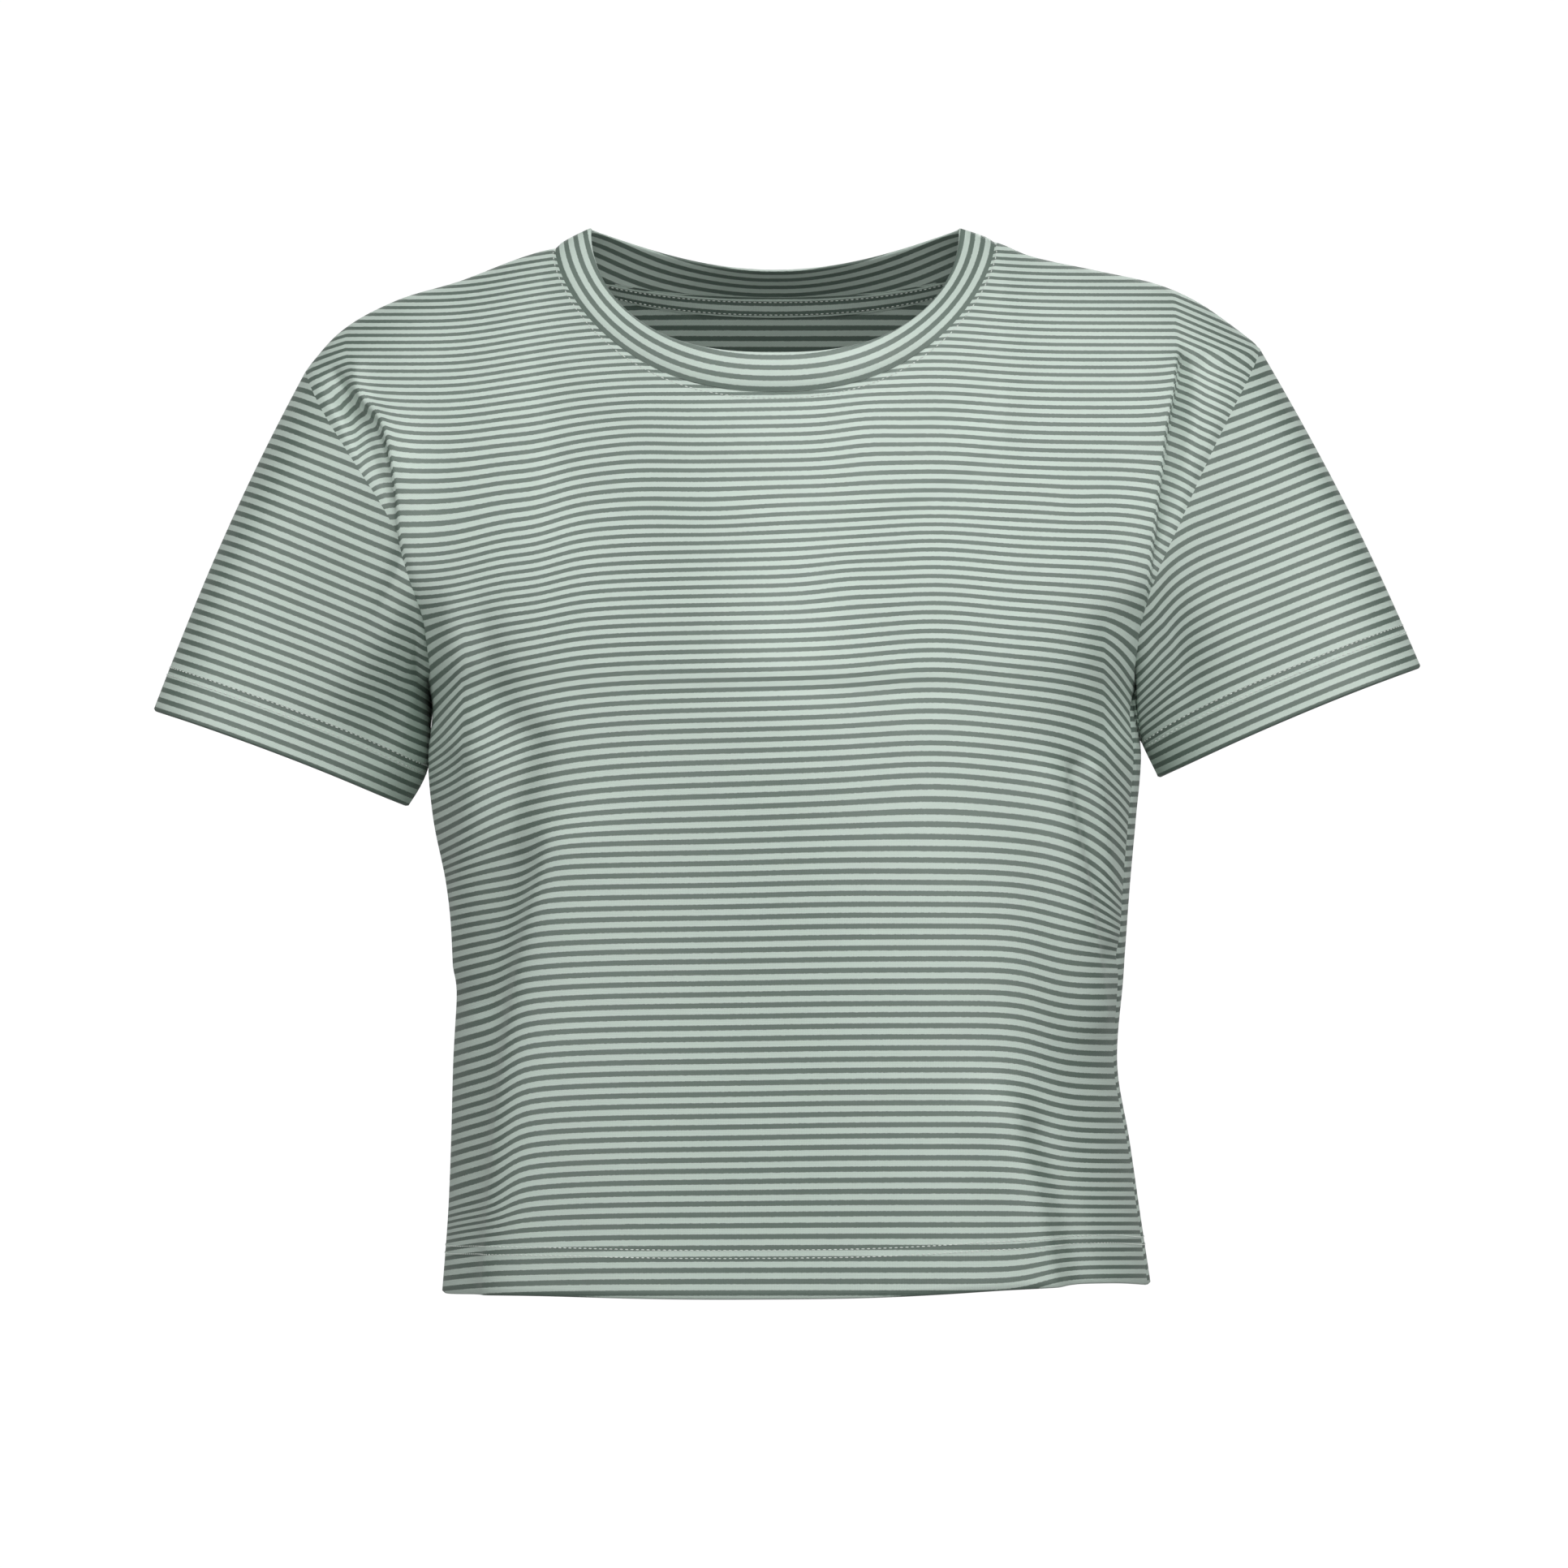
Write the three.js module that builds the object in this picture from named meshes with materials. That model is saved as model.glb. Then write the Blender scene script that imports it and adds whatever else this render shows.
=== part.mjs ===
// Striped crop top, worn form: front, back, two set-in sleeves, a crew neckband and a back neck tape.
// Millimetres, +Z up. The wearer faces -Y, so the wearer's left is +X. The origin is between the two
// neck points, at shoulder height. The wearer's shoulders hold the garment up.
import * as THREE from 'three';

// Cloth
const WALL = 1.3;
const BAND_WALL = 2;
const TAPE_WALL = 1;
const SEAM_GAP = 0.3;
// Least cosine used when a wall's thickness is stretched along the shared direction of a seam
const MITRE_LIMIT = 0.95;

// Grid: rows up the panels, columns across them
const ROWS_BELOW_ARMHOLE = 19;
const ROWS_BESIDE_ARMHOLE = 12;
const SHOULDER_COLUMNS = 7;
const FRONT_NECK_COLUMNS = 20;
const BACK_NECK_COLUMNS = 16;
const SLEEVE_ROWS = 11;
const BAND_ROWS = 3;
const ROWS = ROWS_BELOW_ARMHOLE + ROWS_BESIDE_ARMHOLE;
// Share of an even step in the row spacing beside the armhole: the rest is closer at both ends.
const EVEN_ROWS = 0.35;

// Heights
const UNDERARM_Z = -212;

// Bottom hem, by how far across the panel it is: -1 at the wearer's right side seam, 1 at the left
const HEM = [
  { share: -1, front: -487, back: -487 },
  { share: -0.5, front: -480.4, back: -488.5 },
  { share: 0, front: -479.6, back: -489 },
  { share: 0.45, front: -476, back: -488 },
  { share: 0.7, front: -476.3, back: -486 },
  { share: 1, front: -481, back: -481 },
];

// The plane through the shoulder ridge and the widest points of the body
const SIDE_Y = 10;

// Plan sections of the body: edges in x, depths before and behind the side plane, how square the
// front corners are, and how far the wearer's left side seam lies inside the widest point.
// Above the underarm the edges are those of the torso that the armholes cut into.
const BODY = [
  { z: -489, xMin: -159, xMax: 171, front: 151, back: 84, square: 2.7, seamInset: 2.4 },
  { z: -450, xMin: -156, xMax: 165, front: 153, back: 86, square: 2.8, seamInset: 2.2 },
  { z: -416, xMin: -154.5, xMax: 160, front: 155, back: 88, square: 2.8, seamInset: 2.2 },
  { z: -382, xMin: -153.5, xMax: 154.5, front: 156, back: 87, square: 2.75, seamInset: 2.8 },
  { z: -340, xMin: -152, xMax: 157.5, front: 157, back: 84, square: 2.65, seamInset: 4 },
  { z: -300, xMin: -156.5, xMax: 160.5, front: 158, back: 84, square: 2.5, seamInset: 4.8 },
  { z: -268, xMin: -163, xMax: 163.5, front: 158, back: 88, square: 2.4, seamInset: 5 },
  { z: -240, xMin: -165.5, xMax: 166, front: 157.5, back: 91, square: 2.3, seamInset: 4.8 },
  { z: -212, xMin: -164, xMax: 165, front: 154, back: 93, square: 2.3, seamInset: 4 },
  { z: -181, xMin: -179, xMax: 179, front: 139, back: 94, square: 2.3, seamInset: 0 },
  { z: -150, xMin: -202, xMax: 202, front: 119, back: 93, square: 2.3, seamInset: 0 },
  { z: -118, xMin: -222, xMax: 222, front: 97.5, back: 90, square: 2.3, seamInset: 0 },
  { z: -91, xMin: -240, xMax: 240, front: 80, back: 85, square: 2.3, seamInset: 0 },
  { z: -60, xMin: -256, xMax: 256, front: 63, back: 77, square: 2.3, seamInset: 0 },
  { z: -20, xMin: -266, xMax: 266, front: 56, back: 62, square: 2.3, seamInset: 0 },
  { z: 10, xMin: -270, xMax: 270, front: 52, back: 52, square: 2.3, seamInset: 0 },
];

// Armhole seams as they are seen from the front and from the back
const ARMHOLE = [
  { z: -212, front: { xMin: -161.5, xMax: 161 }, back: { xMin: -162, xMax: 163 } },
  { z: -203, front: { xMin: -162.8, xMax: 161.4 }, back: { xMin: -164, xMax: 164.5 } },
  { z: -176, front: { xMin: -165.4, xMax: 164.3 }, back: { xMin: -169, xMax: 169 } },
  { z: -153, front: { xMin: -170.6, xMax: 171.8 }, back: { xMin: -176, xMax: 176 } },
  { z: -131, front: { xMin: -180.2, xMax: 182 }, back: { xMin: -184, xMax: 184 } },
  { z: -106, front: { xMin: -196.2, xMax: 193.5 }, back: { xMin: -195, xMax: 194 } },
  { z: -81, front: { xMin: -212.4, xMax: 206 }, back: { xMin: -209, xMax: 206 } },
  { z: -60, front: { xMin: -223, xMax: 217 }, back: { xMin: -223, xMax: 217 } },
  { z: -48, front: { xMin: -227, xMax: 222.3 }, back: { xMin: -227, xMax: 222.3 } },
  { z: 10, front: { xMin: -235, xMax: 235 }, back: { xMin: -235, xMax: 235 } },
];

// Shoulder line seen from the front, from one sleeve seam over the neck to the other
const SHOULDER = [
  { x: -223, z: -58.5 },
  { x: -207.5, z: -41.4 },
  { x: -182.5, z: -26.8 },
  { x: -150, z: -16.5 },
  { x: -120, z: -5 },
  { x: -107, z: -1.5 },
  { x: 0, z: 7 },
  { x: 98, z: 1.5 },
  { x: 113, z: -4.5 },
  { x: 147.7, z: -12.3 },
  { x: 175, z: -18.7 },
  { x: 192, z: -26.3 },
  { x: 213.6, z: -41.4 },
  { x: 222.3, z: -48.3 },
];
// How round the top of the shoulder is, at the sleeve seam, at the neck and at the centre, and how
// far the cloth runs forwards or back for each step down from the shoulder line
const SHOULDER_TOP = {
  front: { tip: 20, neck: 10, centre: 420, slope: 0.8 },
  back: { tip: 22, neck: 34, centre: 420, slope: 0.9 },
};
const SHOULDER_FLATTEN = 1.5;
// How sharply the shoulder's top runs into the section below it
const SOFT_CORNER = 4;
// Height over which the seam at the underarm turns into each panel's armhole edge
const ARMHOLE_TURN = { front: 12, back: 20 };
// How late the columns fan out from their even spacing at the hem
const FAN = 1.6;
// Points closer than this are the same sewn point
const WELD = 0.2;

// Neck seam: an oval of the cut edge, and the top edge of the neckband inside it
const NECK = {
  centreX: -4.2,
  halfWidth: 102.6,
  front: { z: -73, square: 2.3, bow: 1.56 },
  back: { z: -20, square: 2, bow: 2.4 },
};
const BAND_TOP = {
  halfWidth: 86.5,
  side: { y: 9, z: 7 },
  front: { y: -56, z: -55.5, square: 2.6, bow: 1.92, drop: 1.92 },
  back: { y: 58, z: -8.5, square: 2, bow: 2.2, drop: 0.8 },
};
const BAND_BULGE = 0.8;
const TAPE = { top: 1.2, bottom: 10, clearance: 0.6, endColumns: 2 };

// Sleeve hems: two ends of the straight hem line seen from the front, the half depth of
// the cuff, and how far the hem rises at its front and back middle
const CUFF = {
  right: { outerX: -292.7, outerZ: -217, innerX: -174.6, innerZ: -262 },
  left: { outerX: 295.7, outerZ: -197, innerX: 173.8, innerZ: -248.5 },
  halfDepth: 39,
  centreY: 1,
  square: 2.2,
  rise: 2.4,
};
// How far a sleeve leaves its armhole sideways before it turns down, at the shoulder and underarm.
// Below zero it drops steeper than it ends, close beside the body.
const SLEEVE_SPREAD = { shoulder: 0.13, underarm: -0.3 };
const SLEEVE_REACH = 0.36;
// Extra room at the armhole seam, where sleeve and body fold sharply against each other
const SLEEVE_CLEARANCE = 0.5;

// Largest folds of the body, as seen from the front or back: a path of three points, how far the
// cloth stands out of (or, below zero, in from) its section there, and the fold's half width.
const FOLDS = [
  { on: 'front', x1: -184, z1: -62, x2: -180, z2: -104, x3: -166, z3: -160, rise: 5, width: 8 },
  { on: 'front', x1: -200, z1: -72, x2: -190, z2: -110, x3: -176, z3: -150, rise: -5, width: 8 },
  { on: 'front', x1: 179, z1: -54, x2: 172, z2: -104, x3: 158, z3: -168, rise: 5.5, width: 7 },
  { on: 'front', x1: 194, z1: -64, x2: 185, z2: -110, x3: 171, z3: -152, rise: -5, width: 7 },
  { on: 'front', x1: -92, z1: -262, x2: -117, z2: -372, x3: -126, z3: -489, rise: 4, width: 15 },
  { on: 'front', x1: -132, z1: -222, x2: -140, z2: -275, x3: -146, z3: -335, rise: 3.5, width: 10 },
  { on: 'front', x1: -112, z1: -232, x2: -126, z2: -290, x3: -136, z3: -350, rise: -4, width: 11 },
  { on: 'front', x1: 116, z1: -250, x2: 128, z2: -300, x3: 141, z3: -356, rise: 3.5, width: 9 },
  { on: 'front', x1: 129, z1: -246, x2: 139, z2: -290, x3: 146, z3: -330, rise: -3, width: 6 },
  { on: 'front', x1: 100, z1: -400, x2: 110, z2: -430, x3: 120, z3: -489, rise: 4, width: 15 },
  { on: 'back', x1: -168, z1: -120, x2: -156, z2: -170, x3: -120, z3: -235, rise: 4, width: 11 },
  { on: 'back', x1: 170, z1: -118, x2: 155, z2: -175, x3: 116, z3: -240, rise: 4, width: 12 },
  { on: 'back', x1: -128, z1: -250, x2: -96, z2: -330, x3: -88, z3: -470, rise: 3.5, width: 15 },
  { on: 'back', x1: 136, z1: -258, x2: 104, z2: -335, x3: 92, z3: -480, rise: 4, width: 16 },
  { on: 'back', x1: -40, z1: -280, x2: -28, z2: -360, x3: -34, z3: -450, rise: -3.5, width: 18 },
  { on: 'back', x1: 46, z1: -270, x2: 32, z2: -350, x3: 40, z3: -440, rise: -3.5, width: 17 },
];
const FOLD_STEPS = 10;
// Folds fade out over this depth towards the shoulder line and the side plane
const FOLD_FADE = 20;

// Sleeve folds: where round the sleeve (0 at the underarm, 0.5 at the front middle, 1 at the shoulder,
// 1.5 at the back middle), how far down it the fold starts and ends, its rise and its width
const SLEEVE_FOLDS = {
  right: [
    { round: 0.12, from: 0, to: 1, rise: 3.5, width: 0.1 },
    { round: 0.3, from: 0, to: 0.9, rise: -6, width: 0.1 },
    { round: 0.62, from: 0.2, to: 1, rise: -3, width: 0.1 },
    { round: 0.82, from: 0, to: 0.85, rise: 2.5, width: 0.08 },
    { round: 1.35, from: 0.1, to: 0.9, rise: -3.5, width: 0.11 },
    { round: 1.7, from: 0, to: 0.9, rise: -4, width: 0.1 },
  ],
  left: [
    { round: 0.12, from: 0, to: 1, rise: 3.5, width: 0.1 },
    { round: 0.28, from: 0, to: 0.85, rise: -6, width: 0.1 },
    { round: 0.55, from: 0.1, to: 0.95, rise: -2.5, width: 0.1 },
    { round: 0.86, from: 0, to: 0.8, rise: 3, width: 0.07 },
    { round: 1.4, from: 0.1, to: 0.95, rise: -3.5, width: 0.11 },
    { round: 1.72, from: 0, to: 0.85, rise: -4, width: 0.1 },
  ],
};

const COLOURS = { cloth: 0x9cae9f, band: 0xa6b8a9, tape: 0x6b7a68 };
const ROUGHNESS = 0.9;

const lerp = THREE.MathUtils.lerp;
const clamp = THREE.MathUtils.clamp;

// Smooth reading of one column of a table whose rows rise in the key column
function read(rows, key, at, pick) {
  let i = 0;
  while (i < rows.length - 2 && at > rows[i + 1][key]) {
    i += 1;
  }
  const [a, b] = [rows[i], rows[i + 1]];
  const span = b[key] - a[key];
  const t = clamp((at - a[key]) / span, 0, 1);
  const slope = (from, to) => (pick(to) - pick(from)) / (to[key] - from[key]);
  const middle = slope(a, b);
  const slopeA = i > 0 ? (slope(rows[i - 1], a) + middle) / 2 : middle;
  const slopeB = i < rows.length - 2 ? (slope(b, rows[i + 2]) + middle) / 2 : middle;
  const t2 = t * t;
  const t3 = t2 * t;
  return pick(a) * (2 * t3 - 3 * t2 + 1) + pick(b) * (3 * t2 - 2 * t3)
    + (slopeA * (t3 - 2 * t2 + t) + slopeB * (t3 - t2)) * span;
}

// The plan section at one height
function section(z) {
  const value = (column) => read(BODY, 'z', z, (row) => row[column]);
  const xMin = value('xMin');
  const xMax = value('xMax');
  return {
    centre: (xMin + xMax) / 2,
    half: (xMax - xMin) / 2,
    front: value('front'),
    back: value('back'),
    square: value('square'),
    seamInset: value('seamInset'),
  };
}

// Angle round a section, from the centre front towards +X, of a place x on its front half
function angleAt(x, plan) {
  const share = clamp((x - plan.centre) / plan.half, -1, 1);
  return Math.sign(share) * Math.asin(Math.abs(share) ** (plan.square / 2));
}

function shoulderHeight(x) {
  return read(SHOULDER, 'x', x, (row) => row.z);
}

// How far the shoulder's top lets a panel stand from the side plane, a drop below the shoulder line
function shoulderDepth(x, drop, top) {
  const out = Math.abs(x - NECK.centreX);
  const pastNeck = (out - NECK.halfWidth) / (SHOULDER.at(-1).x - NECK.halfWidth);
  const inward = Math.max(1 - out / NECK.halfWidth, 0) ** SHOULDER_FLATTEN;
  const round = pastNeck > 0
    ? lerp(top.neck, top.tip, Math.min(pastNeck, 1))
    : top.neck * (top.centre / top.neck) ** inward;
  return Math.sqrt(2 * round * drop + (top.slope * drop) ** 2);
}

// Fold paths sampled once, and the height of all folds of a panel at one place
const foldPaths = FOLDS.map((fold) => {
  const curve = new THREE.QuadraticBezierCurve(
    new THREE.Vector2(fold.x1, fold.z1),
    new THREE.Vector2(2 * fold.x2 - (fold.x1 + fold.x3) / 2, 2 * fold.z2 - (fold.z1 + fold.z3) / 2),
    new THREE.Vector2(fold.x3, fold.z3),
  );
  return { ...fold, points: curve.getPoints(FOLD_STEPS) };
});

function foldHeight(on, x, z) {
  let height = 0;
  for (const fold of foldPaths.filter((each) => each.on === on)) {
    let nearest = Infinity;
    for (let i = 0; i < FOLD_STEPS; i += 1) {
      const [a, b] = [fold.points[i], fold.points[i + 1]];
      const along = new THREE.Vector2().subVectors(b, a);
      const to = new THREE.Vector2(x - a.x, z - a.y);
      const t = clamp(to.dot(along) / along.lengthSq(), 0, 1);
      nearest = Math.min(nearest, to.sub(along.multiplyScalar(t)).length());
    }
    height += fold.rise * Math.exp(-((nearest / fold.width) ** 2));
  }
  return height;
}

// A point of the body cloth, at an angle round the section at height z
function bodyPoint(angle, z) {
  const plan = section(z);
  const power = 2 / plan.square;
  const across = Math.sign(Math.sin(angle)) * Math.abs(Math.sin(angle)) ** power;
  const forward = Math.cos(angle) > 0;
  const depth = (forward ? plan.front : plan.back) * Math.abs(Math.cos(angle)) ** power;
  const x = plan.centre + plan.half * across;
  const drop = Math.max(shoulderHeight(x) - z, 0);
  const top = shoulderDepth(x, drop, SHOULDER_TOP[forward ? 'front' : 'back']);
  const kept = depth > 0 && top > 0
    ? (depth ** -SOFT_CORNER + top ** -SOFT_CORNER) ** (-1 / SOFT_CORNER)
    : 0;
  const away = forward ? -1 : 1;
  const out = new THREE.Vector2(across / plan.half, (away * kept) / (plan.front * plan.front));
  out.normalize();
  const fold = foldHeight(forward ? 'front' : 'back', x, z) * clamp(kept / FOLD_FADE, 0, 1);
  return new THREE.Vector3(x + out.x * fold, SIDE_Y + away * kept + out.y * fold, z);
}

// Angle, from the centre of a panel to its edge: the side seam below the underarm, the armhole
// seam above it. Angles are counted from the centre front, and on the back from the centre back.
function edgeAngle(panel, edge, z) {
  const plan = section(z);
  const inset = edge === 'xMax' ? plan.seamInset : 0;
  const side = edge === 'xMax' ? 1 : -1;
  const seam = Math.abs(angleAt(plan.centre + side * plan.half - inset, plan));
  const sideAngle = panel === 'front' ? seam : Math.PI - seam;
  const armhole = Math.abs(angleAt(read(ARMHOLE, 'z', z, (row) => row[panel][edge]), plan));
  const turned = THREE.MathUtils.smoothstep(z, UNDERARM_Z, UNDERARM_Z + ARMHOLE_TURN[panel]);
  return lerp(sideAngle, armhole, turned);
}

// How near an oval is to its middle at a turn: 0 at its sides, 1 at its middle
function oval(turn, square, bow) {
  return Math.max(1 - Math.abs(Math.sin(turn)) ** square, 0) ** (1 / bow);
}

// The top edge of a panel from the wearer's right shoulder to the left: places in x and z
function topEdge(panel, neckColumns) {
  const neckEnd = (side) => NECK.centreX + side * NECK.halfWidth;
  const places = [];
  const addShoulder = (fromX, toX) => {
    for (let i = 0; i <= SHOULDER_COLUMNS; i += 1) {
      const x = lerp(fromX, toX, i / SHOULDER_COLUMNS);
      places.push({ x, z: shoulderHeight(x) });
    }
  };
  addShoulder(SHOULDER[0].x, neckEnd(-1));
  for (let i = 1; i < neckColumns; i += 1) {
    const turn = Math.PI * (i / neckColumns - 0.5);
    const endZ = shoulderHeight(neckEnd(Math.sign(turn) || 1));
    const x = NECK.centreX + NECK.halfWidth * Math.sin(turn);
    places.push({ x, z: lerp(endZ, NECK[panel].z, oval(turn, NECK[panel].square, NECK[panel].bow)) });
  }
  addShoulder(neckEnd(1), SHOULDER.at(-1).x);
  return places;
}

// Outer points of a panel, in rows from the hem up. The columns run from the wearer's right to the
// left on the front and the other way on the back, so that both face outwards.
function panelGrid(panel, neckColumns) {
  const places = topEdge(panel, neckColumns);
  const last = places.length - 1;
  const columns = places.map((place, j) => {
    const angle = angleAt(place.x, section(place.z));
    const edge = angle > 0 ? 'xMax' : 'xMin';
    const atTip = j === 0 || j === last;
    return {
      hemShare: 2 * (j / last) - 1,
      topShare: atTip ? Math.sign(angle) : angle / edgeAngle(panel, edge, place.z),
      topZ: place.z,
      tipX: atTip ? place.x : null,
    };
  });
  if (panel === 'back') {
    columns.reverse();
  }
  const rows = [];
  for (let k = 0; k <= ROWS; k += 1) {
    const beside = Math.max(k - ROWS_BELOW_ARMHOLE, 0) / ROWS_BESIDE_ARMHOLE;
    const below = Math.min(k / ROWS_BELOW_ARMHOLE, 1);
    const rise = lerp(THREE.MathUtils.smoothstep(beside, 0, 1), beside, EVEN_ROWS);
    rows.push(columns.map((column) => {
      const share = lerp(column.hemShare, column.topShare, (k / ROWS) ** FAN);
      const hemZ = read(HEM, 'share', column.hemShare, (row) => row[panel]);
      const z = lerp(lerp(hemZ, UNDERARM_Z, below), column.topZ, rise);
      const side = share > 0 ? 1 : -1;
      const turn = Math.abs(share) * edgeAngle(panel, share > 0 ? 'xMax' : 'xMin', z);
      if (k === ROWS && column.tipX) {
        return new THREE.Vector3(column.tipX, SIDE_Y, z);
      }
      return bodyPoint(side * (panel === 'front' ? turn : Math.PI - turn), z);
    }));
  }
  return rows;
}

// Ring of armhole points from the underarm over the front edge to the shoulder and down the back
function armholeRing(side) {
  const frontColumn = side === 'right' ? 0 : front[0].length - 1;
  const backColumn = side === 'right' ? back[0].length - 1 : 0;
  const ring = [];
  for (let k = ROWS_BELOW_ARMHOLE; k <= ROWS; k += 1) {
    ring.push(front[k][frontColumn]);
  }
  for (let k = ROWS - 1; k > ROWS_BELOW_ARMHOLE; k -= 1) {
    ring.push(back[k][backColumn]);
  }
  return ring;
}

// How far round its ring each armhole point lies: 0 at the underarm, 1 at the shoulder, towards 2
function ringShares(ring) {
  const top = ROWS_BESIDE_ARMHOLE;
  const along = [0];
  for (let i = 1; i <= ring.length; i += 1) {
    along.push(along[i - 1] + ring[i % ring.length].distanceTo(ring[i - 1]));
  }
  const whole = along[ring.length];
  return ring.map((point, i) => (i <= top
    ? along[i] / along[top]
    : 1 + (along[i] - along[top]) / (whole - along[top])));
}

// A sleeve: each armhole point runs on a smooth curve to its place on the cuff
function sleeveGrid(side) {
  const ring = armholeRing(side);
  const shares = ringShares(ring);
  const outward = new THREE.Vector3(side === 'right' ? -1 : 1, 0, 0);
  const cuff = CUFF[side];
  const inner = new THREE.Vector3(cuff.innerX, CUFF.centreY, cuff.innerZ);
  const outer = new THREE.Vector3(cuff.outerX, CUFF.centreY, cuff.outerZ);
  const middle = inner.clone().add(outer).multiplyScalar(0.5);
  const hemLine = outer.clone().sub(inner).multiplyScalar(0.5);
  const forward = new THREE.Vector3(0, -CUFF.halfDepth, 0);
  const down = new THREE.Vector3(hemLine.z, 0, -hemLine.x).normalize();
  down.multiplyScalar(-Math.sign(down.z));
  const power = 2 / CUFF.square;
  const soft = (value) => Math.sign(value) * Math.abs(value) ** power;
  const rows = [];
  for (let r = 0; r <= SLEEVE_ROWS; r += 1) {
    const t = r / SLEEVE_ROWS;
    rows.push(ring.map((start, i) => {
      const turn = Math.PI * shares[i];
      const end = middle.clone()
        .addScaledVector(hemLine, -soft(Math.cos(turn)))
        .addScaledVector(forward, soft(Math.sin(turn)))
        .addScaledVector(down, -CUFF.rise * Math.sin(turn) ** 2);
      const length = start.distanceTo(end);
      const upper = (1 - Math.cos(turn)) / 2;
      const spread = lerp(SLEEVE_SPREAD.underarm, SLEEVE_SPREAD.shoulder, upper);
      const leaving = down.clone().lerp(outward, spread).normalize();
      const curve = new THREE.CubicBezierCurve3(
        start.clone().addScaledVector(leaving, SLEEVE_CLEARANCE),
        start.clone().addScaledVector(leaving, length * SLEEVE_REACH),
        end.clone().addScaledVector(down, -length * SLEEVE_REACH),
        end,
      );
      const point = curve.getPoint(t);
      const away = forward.clone().normalize().multiplyScalar(Math.sin(turn));
      away.addScaledVector(hemLine.clone().normalize(), -Math.cos(turn));
      return point.addScaledVector(away, sleeveFold(side, shares[i], t));
    }));
  }
  if (side === 'left') {
    rows.forEach((row) => row.reverse());
  }
  return rows;
}

// Height of all folds of a sleeve at one place: they fade out at the seam and where they end
function sleeveFold(side, round, down) {
  let height = 0;
  for (const fold of SLEEVE_FOLDS[side]) {
    const along = clamp((down - fold.from) / (fold.to - fold.from), 0, 1);
    const across = (round - fold.round) / fold.width;
    height += fold.rise * Math.sin(Math.PI * along) * Math.exp(-across * across);
  }
  return height * clamp(down * SLEEVE_ROWS, 0, 1);
}

// The neckband stands up and in from the neck seam, all round
function bandGrid() {
  const first = SHOULDER_COLUMNS;
  const seam = [
    ...front[ROWS].slice(first, first + FRONT_NECK_COLUMNS + 1),
    ...back[ROWS].slice(first + 1, first + BACK_NECK_COLUMNS),
  ];
  const topPoint = (i) => {
    const onFront = i <= FRONT_NECK_COLUMNS;
    const share = onFront ? i / FRONT_NECK_COLUMNS : (i - FRONT_NECK_COLUMNS) / BACK_NECK_COLUMNS;
    const turn = Math.PI * (share - 0.5) * (onFront ? 1 : -1);
    const middle = onFront ? BAND_TOP.front : BAND_TOP.back;
    return new THREE.Vector3(
      NECK.centreX + BAND_TOP.halfWidth * Math.sin(turn),
      lerp(BAND_TOP.side.y, middle.y, oval(turn, middle.square, middle.bow)),
      lerp(BAND_TOP.side.z, middle.z, oval(turn, middle.square, middle.drop)),
    );
  };
  const rows = [];
  for (let r = 0; r <= BAND_ROWS; r += 1) {
    const up = r / BAND_ROWS;
    rows.push(seam.map((point, i) => {
      const bulged = point.clone().lerp(topPoint(i), up);
      const away = new THREE.Vector3(bulged.x - NECK.centreX, bulged.y - SIDE_Y, 0).normalize();
      return bulged.addScaledVector(away, BAND_BULGE * Math.sin(Math.PI * up));
    }));
  }
  return rows;
}

// One wall of cloth: its outer grid of points, which of its edges are sewn, and its finish
function sheet(name, grid, options) {
  return { name, grid, ring: false, sewn: [], ...options };
}

const columnsOf = (piece) => piece.grid[0].length;
const columnAt = (piece, c) => (piece.ring ? (c + columnsOf(piece)) % columnsOf(piece) : c);

// Unit normal at each grid point, from the quads round it
function gridNormals(piece) {
  const normals = piece.grid.map((row) => row.map(() => new THREE.Vector3()));
  const lastColumn = piece.ring ? columnsOf(piece) : columnsOf(piece) - 1;
  for (let r = 0; r < piece.grid.length - 1; r += 1) {
    for (let c = 0; c < lastColumn; c += 1) {
      const next = columnAt(piece, c + 1);
      const rising = piece.grid[r + 1][next].clone().sub(piece.grid[r][c]);
      const falling = piece.grid[r + 1][c].clone().sub(piece.grid[r][next]);
      const normal = rising.cross(falling).normalize();
      for (const [row, column] of [[r, c], [r, next], [r + 1, c], [r + 1, next]]) {
        normals[row][column].add(normal);
      }
    }
  }
  normals.flat().forEach((normal) => normal.normalize());
  return normals;
}

// Where sewn edges meet, all walls turn in along one shared direction
function joinNormals(pieces) {
  const joints = [];
  for (const piece of pieces) {
    piece.normals = gridNormals(piece);
    piece.grid.forEach((row, r) => row.forEach((point, c) => {
      if (sewnSides(piece, r, c).length === 0) {
        return;
      }
      let joint = joints.find((each) => each.point.distanceTo(point) < WELD);
      if (!joint) {
        joint = { point, sum: new THREE.Vector3(), members: [] };
        joints.push(joint);
      }
      joint.sum.add(piece.normals[r][c]);
      joint.members.push(piece.normals[r][c]);
    }));
  }
  for (const joint of joints) {
    const shared = joint.sum.normalize();
    for (const member of joint.members) {
      const lean = Math.max(member.dot(shared), MITRE_LIMIT);
      member.copy(shared).divideScalar(lean);
    }
  }
}

// The sewn edges that a grid point lies on
function sewnSides(piece, r, c) {
  const sides = [];
  if (r === 0) sides.push('bottom');
  if (r === piece.grid.length - 1) sides.push('top');
  if (!piece.ring && c === 0) sides.push('first');
  if (!piece.ring && c === columnsOf(piece) - 1) sides.push('last');
  return sides.filter((side) => piece.sewn.includes(side));
}

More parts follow.
